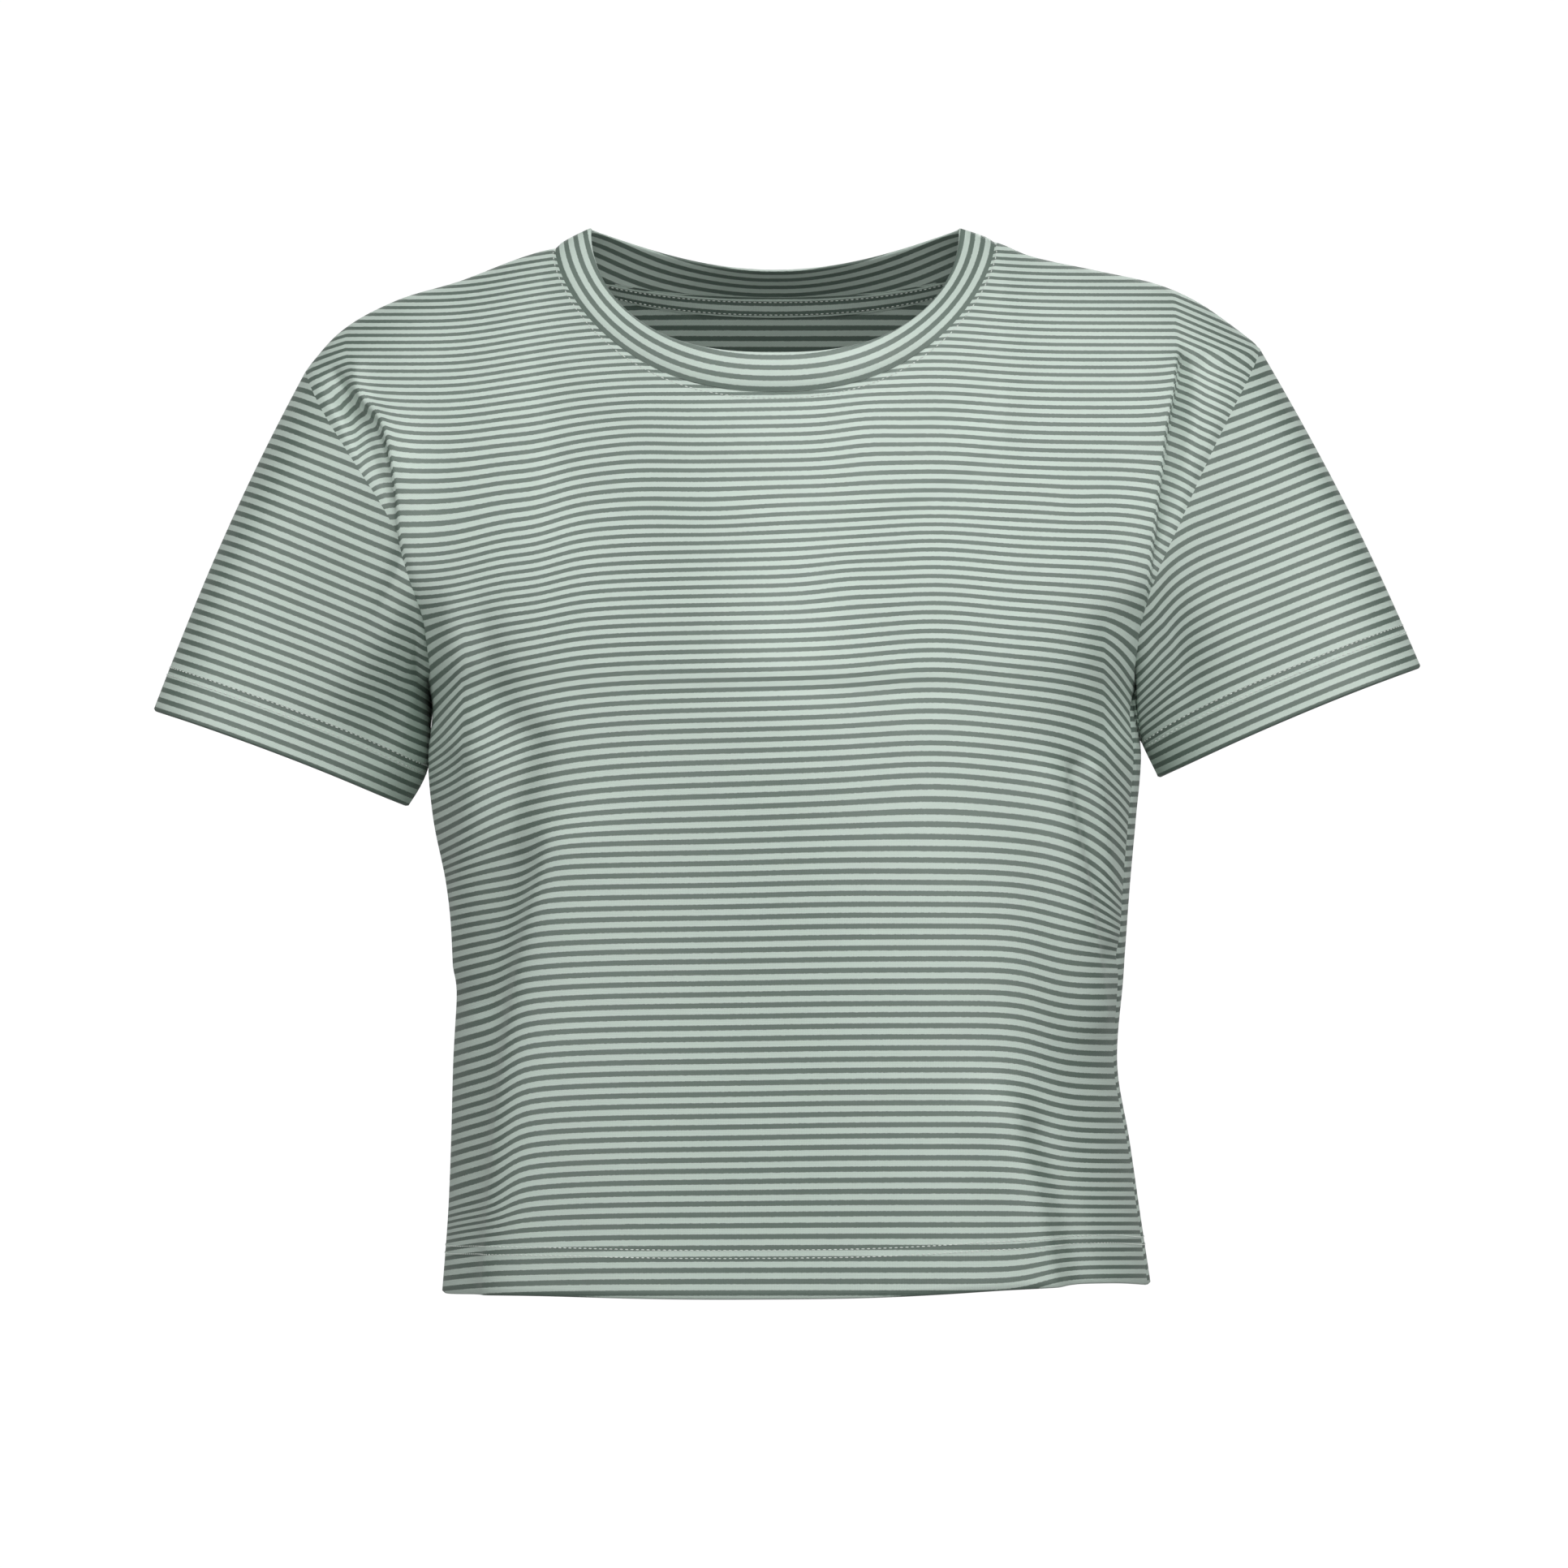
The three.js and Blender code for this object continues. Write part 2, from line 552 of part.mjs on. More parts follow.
// Half a seam gap, at right angles to each sewn edge and into the cloth
function seamTrim(piece, r, c) {
  const trim = new THREE.Vector3();
  const at = (row, column) => {
    const lastRow = piece.grid.length - 1;
    const inRow = clamp(row, 0, lastRow);
    const inColumn = piece.ring ? columnAt(piece, column) : clamp(column, 0, columnsOf(piece) - 1);
    return piece.grid[inRow][inColumn];
  };
  const inwardStep = { bottom: [1, 0], top: [-1, 0], first: [0, 1], last: [0, -1] };
  for (const side of sewnSides(piece, r, c)) {
    const [dr, dc] = inwardStep[side];
    const [alongRows, alongColumns] = [Math.abs(dc), Math.abs(dr)];
    const alongEdge = at(r + alongRows, c + alongColumns).clone();
    alongEdge.sub(at(r - alongRows, c - alongColumns));
    const inward = at(r + dr, c + dc).clone().sub(piece.grid[r][c]);
    inward.addScaledVector(alongEdge, -inward.dot(alongEdge) / alongEdge.lengthSq());
    trim.addScaledVector(inward.normalize(), SEAM_GAP / 2);
  }
  return trim;
}

// Outer and inner points of a wall
function wallPoints(piece) {
  const faces = { outer: [], inner: [] };
  piece.grid.forEach((row, r) => {
    const trimmed = row.map((point, c) => point.clone().add(seamTrim(piece, r, c)));
    const inwards = (point, c) => point.clone().addScaledVector(piece.normals[r][c], -piece.wall);
    faces.outer.push(trimmed);
    faces.inner.push(trimmed.map(inwards));
  });
  return faces;
}

// Closed geometry of a wall: both faces, and the edges between them
function wallGeometry(piece, faces) {
  const rows = piece.grid.length;
  const columns = columnsOf(piece);
  const positions = [...faces.outer.flat(), ...faces.inner.flat()];
  const index = [];
  const outer = (r, c) => r * columns + columnAt(piece, c);
  const inner = (r, c) => rows * columns + outer(r, c);
  const quad = (a, b, c, d) => index.push(a, b, c, a, c, d);
  const lastColumn = piece.ring ? columns : columns - 1;
  for (let r = 0; r < rows - 1; r += 1) {
    for (let c = 0; c < lastColumn; c += 1) {
      quad(outer(r, c), outer(r, c + 1), outer(r + 1, c + 1), outer(r + 1, c));
      quad(inner(r, c), inner(r + 1, c), inner(r + 1, c + 1), inner(r, c + 1));
    }
  }
  for (let c = 0; c < lastColumn; c += 1) {
    quad(outer(0, c), inner(0, c), inner(0, c + 1), outer(0, c + 1));
    quad(outer(rows - 1, c), outer(rows - 1, c + 1), inner(rows - 1, c + 1), inner(rows - 1, c));
  }
  const end = columns - 1;
  for (let r = 0; r < rows - 1 && !piece.ring; r += 1) {
    quad(outer(r, 0), outer(r + 1, 0), inner(r + 1, 0), inner(r, 0));
    quad(outer(r, end), inner(r, end), inner(r + 1, end), outer(r + 1, end));
  }
  const geometry = new THREE.BufferGeometry();
  const numbers = new Float32Array(positions.flatMap((point) => point.toArray()));
  geometry.setAttribute('position', new THREE.BufferAttribute(numbers, 3));
  geometry.setIndex(index);
  geometry.computeVertexNormals();
  return geometry;
}

// The tape lies on the inside of the back panel, just under the neck seam
function tapeGrid(backFaces) {
  const first = SHOULDER_COLUMNS;
  const top = backFaces.inner[ROWS].slice(first, first + BACK_NECK_COLUMNS + 1);
  const below = backFaces.inner[ROWS - 1].slice(first, first + BACK_NECK_COLUMNS + 1);
  const rows = [TAPE.bottom, TAPE.top].map((down) => top.map((point, i) => {
    const c = first + i;
    const share = down / point.distanceTo(below[i]);
    const clear = backPiece.normals[ROWS][c].clone().lerp(backPiece.normals[ROWS - 1][c], share);
    return point.clone().lerp(below[i], share).addScaledVector(clear.normalize(), -TAPE.clearance);
  }));
  return rows.map((row) => row.slice(TAPE.endColumns, -TAPE.endColumns));
}

const front = panelGrid('front', FRONT_NECK_COLUMNS);
const back = panelGrid('back', BACK_NECK_COLUMNS);
const panel = { wall: WALL, sewn: ['top', 'first', 'last'], colour: COLOURS.cloth };
const tube = { wall: WALL, ring: true, sewn: ['bottom'], colour: COLOURS.cloth };
const backPiece = sheet('back', back, panel);
const pieces = [
  sheet('front', front, panel),
  backPiece,
  sheet('sleeve_right', sleeveGrid('right'), tube),
  sheet('sleeve_left', sleeveGrid('left'), tube),
  sheet('neckband', bandGrid(), { ...tube, wall: BAND_WALL, colour: COLOURS.band }),
];
joinNormals(pieces);

const tape = sheet('neck_tape', tapeGrid(wallPoints(backPiece)), { wall: TAPE_WALL, colour: COLOURS.tape });
tape.normals = gridNormals(tape);

const garment = new THREE.Group();
for (const piece of [...pieces, tape]) {
  const material = new THREE.MeshStandardMaterial({
    color: piece.colour,
    roughness: ROUGHNESS,
    metalness: 0,
  });
  const mesh = new THREE.Mesh(wallGeometry(piece, wallPoints(piece)), material);
  mesh.name = piece.name;
  garment.add(mesh);
}

export default garment;
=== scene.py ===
import bmesh
import bpy
import numpy as np
from mathutils import Matrix, Vector


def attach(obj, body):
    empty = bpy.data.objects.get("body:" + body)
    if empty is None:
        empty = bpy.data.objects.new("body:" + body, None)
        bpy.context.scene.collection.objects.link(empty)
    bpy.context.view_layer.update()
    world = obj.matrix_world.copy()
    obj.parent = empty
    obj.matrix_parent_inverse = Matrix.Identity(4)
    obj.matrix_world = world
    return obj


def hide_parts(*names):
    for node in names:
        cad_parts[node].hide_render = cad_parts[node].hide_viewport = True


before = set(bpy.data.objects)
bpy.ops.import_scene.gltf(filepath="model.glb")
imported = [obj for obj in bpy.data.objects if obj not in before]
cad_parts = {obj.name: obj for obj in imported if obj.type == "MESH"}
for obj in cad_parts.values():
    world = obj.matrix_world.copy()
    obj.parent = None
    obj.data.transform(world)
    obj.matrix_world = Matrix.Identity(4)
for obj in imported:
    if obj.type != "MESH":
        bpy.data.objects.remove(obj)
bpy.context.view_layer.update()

# The view. The photo was taken square on from the front with a long lens, the camera level and at
# the height of the ribs, about three metres away. Sizes below are in millimetres.
MM = 0.001
EYE_DISTANCE = 3000
EYE_HEIGHT = -252
VIEW_WIDTH = 728.8
SENSOR = 36

view = bpy.data.cameras.new("view")
view.sensor_width = SENSOR
view.lens = SENSOR * EYE_DISTANCE / VIEW_WIDTH
view.clip_end = 20
eye = bpy.data.objects.new("view", view)
eye.location = (0, -EYE_DISTANCE * MM, EYE_HEIGHT * MM)
eye.rotation_euler = (np.pi / 2, 0, 0)
bpy.context.collection.objects.link(eye)
bpy.context.scene.camera = eye


# The jersey. All pieces are cut from one fine cotton single jersey, knitted in narrow stripes of two
# greens. The stripes run across the cloth, so each piece carries its cloth's own measure: U along
# the courses and V up the wales, in metres.
STRIPE_PITCH = 4.94
DARK_SHARE = 0.47
STRIPE_SOFTNESS = 0.09
WALE = 0.75
COURSE = 0.55
VEE_SLOPE = 0.9
FIBRE = {"scale": 2600.0, "detail": 2.0, "height": 0.35, "shade": 0.08}
YARN = {"scale": 700.0, "detail": 3.0, "wander": 0.10}
PATCHES = {"scale": 28.0, "detail": 2.0, "shade": 0.05}
LEAST_SHADE = 0.93
RELIEF = {"strength": 0.5, "depth": 0.00012}
LIGHT_GREEN = (0.585, 0.7, 0.625)
DARK_GREEN = (0.067, 0.118, 0.088)
GLOSS_GREEN = (0.96, 1, 0.97)
GLOSS = {
    "Roughness": 0.5,
    "IOR": 1.8,
    "Specular IOR Level": 1.0,
    "Specular Tint": (*GLOSS_GREEN, 1),
    "Sheen Weight": 0.15,
    "Sheen Tint": (*GLOSS_GREEN, 1),
    "Sheen Roughness": 0.45,
}


class Value:
    """A socket's value in a finish, which the usual signs work on."""

    def __init__(self, finish, socket):
        self.finish = finish
        self.socket = socket

    def math(self, operation, *others):
        return self.finish.node("ShaderNodeMath", {"operation": operation}, self, *others)

    def __add__(self, other):
        return self.math("ADD", other)

    def __radd__(self, other):
        return self.math("ADD", other)

    def __sub__(self, other):
        return self.math("SUBTRACT", other)

    def __rsub__(self, other):
        return self.finish.node("ShaderNodeMath", {"operation": "SUBTRACT"}, other, self)

    def __mul__(self, other):
        return self.math("MULTIPLY", other)

    def __rmul__(self, other):
        return self.math("MULTIPLY", other)

    def __truediv__(self, other):
        return self.math("DIVIDE", other)

    def __pow__(self, other):
        return self.math("POWER", other)


class Finish:
    """A material that is put together from nodes."""

    def __init__(self, name):
        self.material = bpy.data.materials.new(name)
        self.material.use_nodes = True
        self.tree = self.material.node_tree
        self.shader = self.tree.nodes["Principled BSDF"]

    def node(self, kind, settings, *values, output=0, **named):
        made = self.tree.nodes.new(kind)
        for setting, value in settings.items():
            setattr(made, setting, value)
        for socket, value in [*enumerate(values), *named.items()]:
            self.put(made.inputs[socket], value)
        return Value(self, made.outputs[output])

    def put(self, socket, value):
        if isinstance(value, Value):
            self.tree.links.new(value.socket, socket)
        else:
            socket.default_value = value

    def mix(self, share, first, second):
        made = self.tree.nodes.new("ShaderNodeMix")
        made.data_type = "RGBA"
        self.put(made.inputs["Factor"], share)
        for socket, value in (("A", first), ("B", second)):
            place = next(s for s in made.inputs if s.name == socket and s.type == "RGBA")
            self.put(place, value if isinstance(value, Value) else (*value, 1))
        return Value(self, next(s for s in made.outputs if s.type == "RGBA"))

    def step(self, value, low, high):
        settings = {"interpolation_type": "SMOOTHSTEP"}
        return self.node("ShaderNodeMapRange", settings, value, low, high, 0.0, 1.0)


def noise(finish, kind, place):
    return finish.node("ShaderNodeTexNoise", {}, Vector=place, Scale=kind["scale"], Detail=kind["detail"])


def jersey(name):
    """Striped single jersey: its stripes, uneven yarn, and the small vees of its face."""
    cloth = Finish(name)
    measure = cloth.node("ShaderNodeTexCoord", {}, output="UV")
    across = cloth.node("ShaderNodeSeparateXYZ", {}, measure, output="X")
    along = cloth.node("ShaderNodeSeparateXYZ", {}, measure, output="Y")
    fibre = noise(cloth, FIBRE, measure)
    uneven = noise(cloth, YARN, measure)
    patchy = noise(cloth, PATCHES, measure)

    count = along / (STRIPE_PITCH * MM) + (uneven - 0.5) * YARN["wander"]
    off_dark = ((count + 0.5).math("FRACT") - 0.5).math("ABSOLUTE") * 2.0
    lightness = cloth.step(off_dark, DARK_SHARE - STRIPE_SOFTNESS, DARK_SHARE + STRIPE_SOFTNESS)
    colour = cloth.mix(lightness, DARK_GREEN, LIGHT_GREEN)
    shade = LEAST_SHADE + FIBRE["shade"] * fibre + PATCHES["shade"] * patchy
    toned = cloth.node("ShaderNodeVectorMath", {"operation": "SCALE"}, colour, Scale=shade)
    cloth.put(cloth.shader.inputs["Base Color"], toned)

    wale = (across / (WALE * MM)).math("FRACT") - 0.5
    vee = along / (COURSE * MM) + wale.math("ABSOLUTE") * VEE_SLOPE
    loops = (vee * (2 * np.pi)).math("SINE") * 0.5 + 0.5
    columns = 1.0 - (wale.math("ABSOLUTE") * 2.0) ** 3.0
    height = loops * columns + FIBRE["height"] * fibre
    bump = {"Strength": RELIEF["strength"], "Distance": RELIEF["depth"]}
    cloth.put(cloth.shader.inputs["Normal"], cloth.node("ShaderNodeBump", {}, Height=height, **bump))
    for socket, value in GLOSS.items():
        cloth.put(cloth.shader.inputs[socket], value)
    return cloth.material


striped = jersey("striped jersey")


# The body. Front and back are two panels of one form: level sections, squarer at the waist than at
# the chest, that run up into rounded shoulders, with armholes cut into the sides. The jersey is
# 0.9 mm thick as it shows at the edges.
CLOTH_WALL = 0.9
SIDE_Y = 10
UNDERARM = -212
ROWS_BELOW = 19
ROWS_BESIDE = 12
ROWS = ROWS_BELOW + ROWS_BESIDE
EVEN_ROWS = 0.35
SHOULDER_COLUMNS = 7
NECK_COLUMNS = {"front": 20, "back": 16}
FAN = 1.6
ARMHOLE_TURN = {"front": 12, "back": 20}
STEPS = {"shoulder": 13, "neck": 3, "row": 5}


def table(columns, *rows):
    """A table whose columns have the names given, with a row for each section or fold."""
    return dict(zip(columns.split(), np.array(rows, dtype=float).T))


SECTIONS = table(
    "z right left front back square inset",
    (-489, -159, 171, 151, 84, 2.7, 2.4),
    (-450, -156, 165, 153, 86, 2.8, 2.2),
    (-416, -154.5, 160, 155, 88, 2.8, 2.2),
    (-382, -153.5, 154.5, 156, 87, 2.75, 2.8),
    (-340, -152, 157.5, 157, 84, 2.65, 4),
    (-300, -156.5, 160.5, 158, 84, 2.5, 4.8),
    (-268, -163, 163.5, 158, 88, 2.4, 5),
    (-240, -165.5, 166, 157.5, 91, 2.3, 4.8),
    (-212, -164, 165, 154, 93, 2.3, 4),
    (-181, -179, 179, 139, 94, 2.3, 0),
    (-150, -202, 202, 119, 93, 2.3, 0),
    (-118, -222, 222, 97.5, 90, 2.3, 0),
    (-91, -240, 240, 80, 85, 2.3, 0),
    (-60, -256, 256, 63, 77, 2.3, 0),
    (-20, -266, 266, 56, 62, 2.3, 0),
    (10, -270, 270, 52, 52, 2.3, 0),
)
HEM = table(
    "share front back",
    (-1, -487, -487),
    (-0.5, -480.4, -488.5),
    (0, -479.6, -489),
    (0.45, -476, -488),
    (0.7, -476.3, -486),
    (1, -481, -481),
)
ARMHOLES = table(
    "z front_right front_left back_right back_left",
    (-212, -161.5, 161, -162, 163),
    (-203, -162.8, 161.4, -164, 164.5),
    (-176, -165.4, 164.3, -169, 169),
    (-153, -170.6, 171.8, -176, 176),
    (-131, -180.2, 182, -184, 184),
    (-106, -196.2, 193.5, -195, 194),
    (-81, -212.4, 206, -209, 206),
    (-60, -223, 217, -223, 217),
    (-48, -227, 222.3, -227, 222.3),
    (10, -235, 235, -235, 235),
)
SHOULDER_LINE = table(
    "x z",
    (-223, -58.5),
    (-207.5, -41.4),
    (-182.5, -26.8),
    (-150, -16.5),
    (-120, -5),
    (-107, -1.5),
    (0, 7),
    (98, 1.5),
    (113, -4.5),
    (147.7, -12.3),
    (175, -18.7),
    (192, -26.3),
    (213.6, -41.4),
    (222.3, -48.3),
)
SHOULDER_TOP = {
    "front": {"tip": 20, "neck": 10, "centre": 420, "slope": 0.8},
    "back": {"tip": 22, "neck": 34, "centre": 420, "slope": 0.9},
}
SHOULDER_FLATTEN = 1.5
SOFT_CORNER = 4
NECK_CENTRE = -4.2
NECK_HALF = 102.6
NECK = {
    "front": {"z": -73, "square": 2.3, "bow": 1.56},
    "back": {"z": -20, "square": 2, "bow": 2.4},
}


def read(rows, key, column, at):
    """Smooth reading of one column of a table, as far up the key column as at."""
    keys, values = rows[key], rows[column]
    at = np.clip(at, keys[0], keys[-1])
    slopes = np.diff(values) / np.diff(keys)
    knots = np.concatenate([slopes[:1], (slopes[1:] + slopes[:-1]) / 2, slopes[-1:]])
    i = np.searchsorted(keys[1:-1], at)
    span = keys[i + 1] - keys[i]
    t = (at - keys[i]) / span
    start = values[i] * (2 * t**3 - 3 * t**2 + 1) + knots[i] * span * (t**3 - 2 * t**2 + t)
    return start + values[i + 1] * (3 * t**2 - 2 * t**3) + knots[i + 1] * span * (t**3 - t**2)


def blend(first, second, share):
    return first + (second - first) * share


def ease(value, low, high):
    t = np.clip((value - low) / (high - low), 0, 1)
    return t * t * (3 - 2 * t)


def section(z):
    plan = {name: read(SECTIONS, "z", name, z) for name in SECTIONS if name != "z"}
    plan["centre"] = (plan["right"] + plan["left"]) / 2
    plan["half"] = (plan["left"] - plan["right"]) / 2
    return plan


def oval(turn, square, bow):
    """How near an oval is to its middle at a turn: 0 at its sides, 1 at its middle."""
    return np.maximum(1 - np.abs(np.sin(turn)) ** square, 0) ** (1 / bow)


def turn_at(x, plan):
    """Turn round the section, from its front or back middle, of a place x."""
    share = np.clip(np.abs(x - plan["centre"]) / plan["half"], 0, 1)
    return np.arcsin(share ** (plan["square"] / 2))


def shoulder_depth(x, drop, top):
    out = np.abs(x - NECK_CENTRE)
    past_neck = np.clip((out - NECK_HALF) / (SHOULDER_LINE["x"][-1] - NECK_HALF), 0, 1)
    inward = np.maximum(1 - out / NECK_HALF, 0) ** SHOULDER_FLATTEN
    beside = blend(top["neck"], top["tip"], past_neck)
    roundness = np.where(out > NECK_HALF, beside, top["neck"] * (top["centre"] / top["neck"]) ** inward)
    return np.sqrt(2 * roundness * drop + (top["slope"] * drop) ** 2)


def edge_turn(panel, left, z):
    """Turn from a panel's middle to its edge: the side seam, and above it the armhole seam."""
    plan = section(z)
    seam_x = np.where(left, plan["left"] - plan["inset"], plan["right"])
    seam = turn_at(seam_x, plan)
    side = seam if panel == "front" else np.pi - seam
    armhole_x = np.where(
        left,
        read(ARMHOLES, "z", f"{panel}_left", z),
        read(ARMHOLES, "z", f"{panel}_right", z),
    )
    armhole = turn_at(armhole_x, plan)
    return blend(side, armhole, ease(z, UNDERARM, UNDERARM + ARMHOLE_TURN[panel]))


# The folds of front and back. Each is a path of three points as seen from its own side, with the
# rise of the cloth along it and its width to either hand of the path. The jersey drags from the
# armholes, breaks over the bust and hangs in soft vertical ridges at the sides.
FOLD_STEPS = 10
TINY = 1e-9
FOLDS = {
    "front": table(
        "x1 z1 x2 z2 x3 z3 rise right left",
        (-197, -60, -191, -84, -181, -116, 2.2, 3.5, 3.5),
        (-208, -64, -200, -84, -189, -108, -2.2, 3.5, 3.5),
        (190, -56, 189, -80, 186, -108, 2, 3.5, 3.5),
        (-150, -172, -148, -200, -147, -232, 3, 8, 9),
        (-139, -180, -135, -200, -128, -228, -2.5, 8, 10),
        (150, -180, 148, -197, 149, -225, -1.8, 9, 9),
        (-102, -280, -121, -376, -131, -489, 5, 7, 22),
        (-120, -290, -136, -380, -146, -489, -3.5, 10, 10),
        (-136, -224, -142, -275, -148, -335, 3.5, 7, 9),
        (-116, -232, -128, -290, -137, -350, -4, 9, 9),
        (122, -250, 133, -300, 142, -356, 4.5, 12, 5),
        (132, -246, 142, -290, 149, -330, -4, 5, 5),
        (140, -246, 145, -280, 149, -322, 3, 5, 4),
        (100, -400, 110, -430, 120, -489, 5, 18, 9),
        (112, -410, 124, -440, 136, -489, -3.5, 9, 8),
    ),
    "back": table(
        "x1 z1 x2 z2 x3 z3 rise right left",
        (-168, -120, -156, -170, -120, -235, 4, 8, 13),
        (170, -118, 155, -175, 116, -240, 4, 13, 9),
        (-128, -250, -96, -330, -88, -470, 3.5, 13, 17),
        (136, -258, 104, -335, 92, -480, 4, 18, 14),
        (-40, -280, -28, -360, -34, -450, -3.5, 18, 18),
        (46, -270, 32, -350, 40, -440, -3.5, 17, 17),
    ),
}


def fold_height(panel, x, z):
    """Height of all folds of a panel over its plain form."""
    height = np.zeros_like(x)
    folds = FOLDS[panel]
    for start_x, start_z, mid_x, mid_z, end_x, end_z, rise, right, left in zip(*folds.values()):
        t = np.linspace(0, 1, FOLD_STEPS + 1)
        bend_x = 2 * mid_x - (start_x + end_x) / 2
        bend_z = 2 * mid_z - (start_z + end_z) / 2
        path_x = (1 - t) ** 2 * start_x + 2 * t * (1 - t) * bend_x + t**2 * end_x
        path_z = (1 - t) ** 2 * start_z + 2 * t * (1 - t) * bend_z + t**2 * end_z
        nearest = np.full(x.shape, np.inf)
        beside = np.zeros(x.shape)
        for i in range(FOLD_STEPS):
            run_x, run_z = path_x[i + 1] - path_x[i], path_z[i + 1] - path_z[i]
            to_x, to_z = x - path_x[i], z - path_z[i]
            share = np.clip((to_x * run_x + to_z * run_z) / (run_x**2 + run_z**2), 0, 1)
            gap = np.hypot(to_x - share * run_x, to_z - share * run_z)
            closer = gap < nearest
            beside = np.where(closer, to_x - share * run_x, beside)
            nearest = np.where(closer, gap, nearest)
        width = blend(right, left, 0.5 + 0.5 * beside / np.maximum(nearest, TINY))
        height += rise * np.exp(-((nearest / width) ** 2))
    return height


# The creases beside the armholes. Where the arms hang, the jersey breaks over an edge that runs down
# from the shoulder, and the strip outside it falls back sharply before it meets the seam.
CREASES = {
    "front": table(
        "z right left",
        (-175, -170, 163.5),
        (-155, -171.5, 165.5),
        (-132, -175, 168.5),
        (-104, -179, 172.5),
        (-85, -183.5, 175.5),
        (-68, -196.5, 179),
        (-52, -203, 181),
    ),
    "back": table(
        "z right left",
        (-190, -160, 158),
        (-150, -167, 165),
        (-110, -176, 174),
        (-77, -184, 183),
        (-52, -190, 190),
    ),
}
CREASE_FORM = {
    "front": {"rise": 3.5, "run": 13, "fall": 12, "edge": 1.8, "low": -180, "high": -50},
    "back": {"rise": 2.4, "run": 16, "fall": 6, "edge": 6, "low": -190, "high": -48},
}
CREASE_FOOT = 24
CREASE_FADES = {"right": 36, "left": 12}
CREASE_SOFTER = {"right": 9, "left": 0.6}
SOFTER_BELOW = 62
SOFTEST_BELOW = 15.5
STRIP_RECOVERED = 22
STRIP_FULL = 12


def past_crease(panel, x, z):
    """How far outside the nearer crease a place is."""
    creases = CREASES[panel]
    return np.maximum(read(creases, "z", "right", z) - x, x - read(creases, "z", "left", z))


def crease_share(panel, x, z):
    """How strong the creases are at a height: they fade out at both ends."""
    form = CREASE_FORM[panel]
    fade = np.where(x < 0, CREASE_FADES["right"], CREASE_FADES["left"])
    grown = ease(z, form["low"], form["low"] + CREASE_FOOT)
    return grown * (1 - ease(z, form["high"] - fade, form["high"]))


def crease_softness(panel, x, z):
    """How much wider the crease's edge is at a height: it is softest at the top."""
    high = CREASE_FORM[panel]["high"]
    softest = np.where(x < 0, CREASE_SOFTER["right"], CREASE_SOFTER["left"])
    return softest * ease(z, high - SOFTER_BELOW, high - SOFTEST_BELOW)


def crease_height(panel, x, z):
    form = CREASE_FORM[panel]
    out = past_crease(panel, x, z)
    edge = form["edge"] + crease_softness(panel, x, z)
    seam = np.where(
        x > 0,
        read(ARMHOLES, "z", f"{panel}_left", z) - read(CREASES[panel], "z", "left", z),
        read(CREASES[panel], "z", "right", z) - read(ARMHOLES, "z", f"{panel}_right", z),
    )
    strip = np.clip(seam, edge + 1, STRIP_RECOVERED)
    inside = form["rise"] * np.exp(-((np.minimum(out, 0) / form["run"]) ** 2))
    fallen = form["fall"] * np.clip(strip / STRIP_FULL, 0, 1) * ease(out, 0, edge)
    outside = (form["rise"] - fallen) * (1 - ease(out, edge, strip))
    return np.where(out < 0, inside, outside) * crease_share(panel, x, z)


# The body's cloth: the plain form of front and back with its folds and creases. Each place stands
# out from the section by their height, which fades towards the side seams and the shoulder line.
LEAST_DEPTH = 1e-6
FOLD_FADE = 20
SIDE_FADE = 60
FADE_CHANGE = 20


def body_point(turn, side, on_front, z):
    """Places on the body, at a turn from the middle of the front or back, at height z."""
    plan = section(z)
    power = 2 / plan["square"]
    angle = np.where(on_front, turn, np.pi - turn)
    across = side * np.sin(angle) ** power
    forward = np.cos(angle) > 0
    depth = np.where(forward, plan["front"], plan["back"]) * np.abs(np.cos(angle)) ** power
    x = plan["centre"] + plan["half"] * across
    drop = np.maximum(read(SHOULDER_LINE, "x", "z", x) - z, 0)
    top = np.where(
        forward,
        shoulder_depth(x, drop, SHOULDER_TOP["front"]),
        shoulder_depth(x, drop, SHOULDER_TOP["back"]),
    )
    depth = np.maximum(depth, LEAST_DEPTH)
    top = np.maximum(top, LEAST_DEPTH)
    kept = (depth**-SOFT_CORNER + top**-SOFT_CORNER) ** (-1 / SOFT_CORNER)
    away = np.where(forward, -1, 1)
    out_x = across / plan["half"]
    out_y = away * kept / plan["front"] ** 2
    length = np.hypot(out_x, out_y)
    fold = np.where(forward, fold_height("front", x, z), fold_height("back", x, z))
    fold = fold + np.where(forward, crease_height("front", x, z), crease_height("back", x, z))
    fade = blend(SIDE_FADE, FOLD_FADE, ease(z, UNDERARM - FADE_CHANGE, UNDERARM + FADE_CHANGE))
    fold = fold * np.clip(kept / fade, 0, 1)
    y = SIDE_Y + away * kept + out_y / length * fold
    return np.stack([x + out_x / length * fold, y, z], axis=-1)


# Seams. The pieces are sewn together with their edges inside, so the jersey dips by less than a
# millimetre along each seam.
SEAM_DIP = 0.8
SEAM_REACH = 2.4


def unit(vectors):
    return vectors / np.maximum(np.linalg.norm(vectors, axis=-1, keepdims=True), TINY)


def grid_normals(points):
    """Outward direction at each point of a grid of places."""
    along = np.gradient(points, axis=1)
    up = np.gradient(points, axis=0)
    return unit(np.cross(along, up))


def run_lengths(points, axis):
    """Length of cloth from the grid's first line to each point, along one axis."""
    steps = np.linalg.norm(np.diff(points, axis=axis), axis=-1)
    pad = [(1, 0), (0, 0)] if axis == 0 else [(0, 0), (1, 0)]
    return np.pad(np.cumsum(steps, axis=axis), pad)


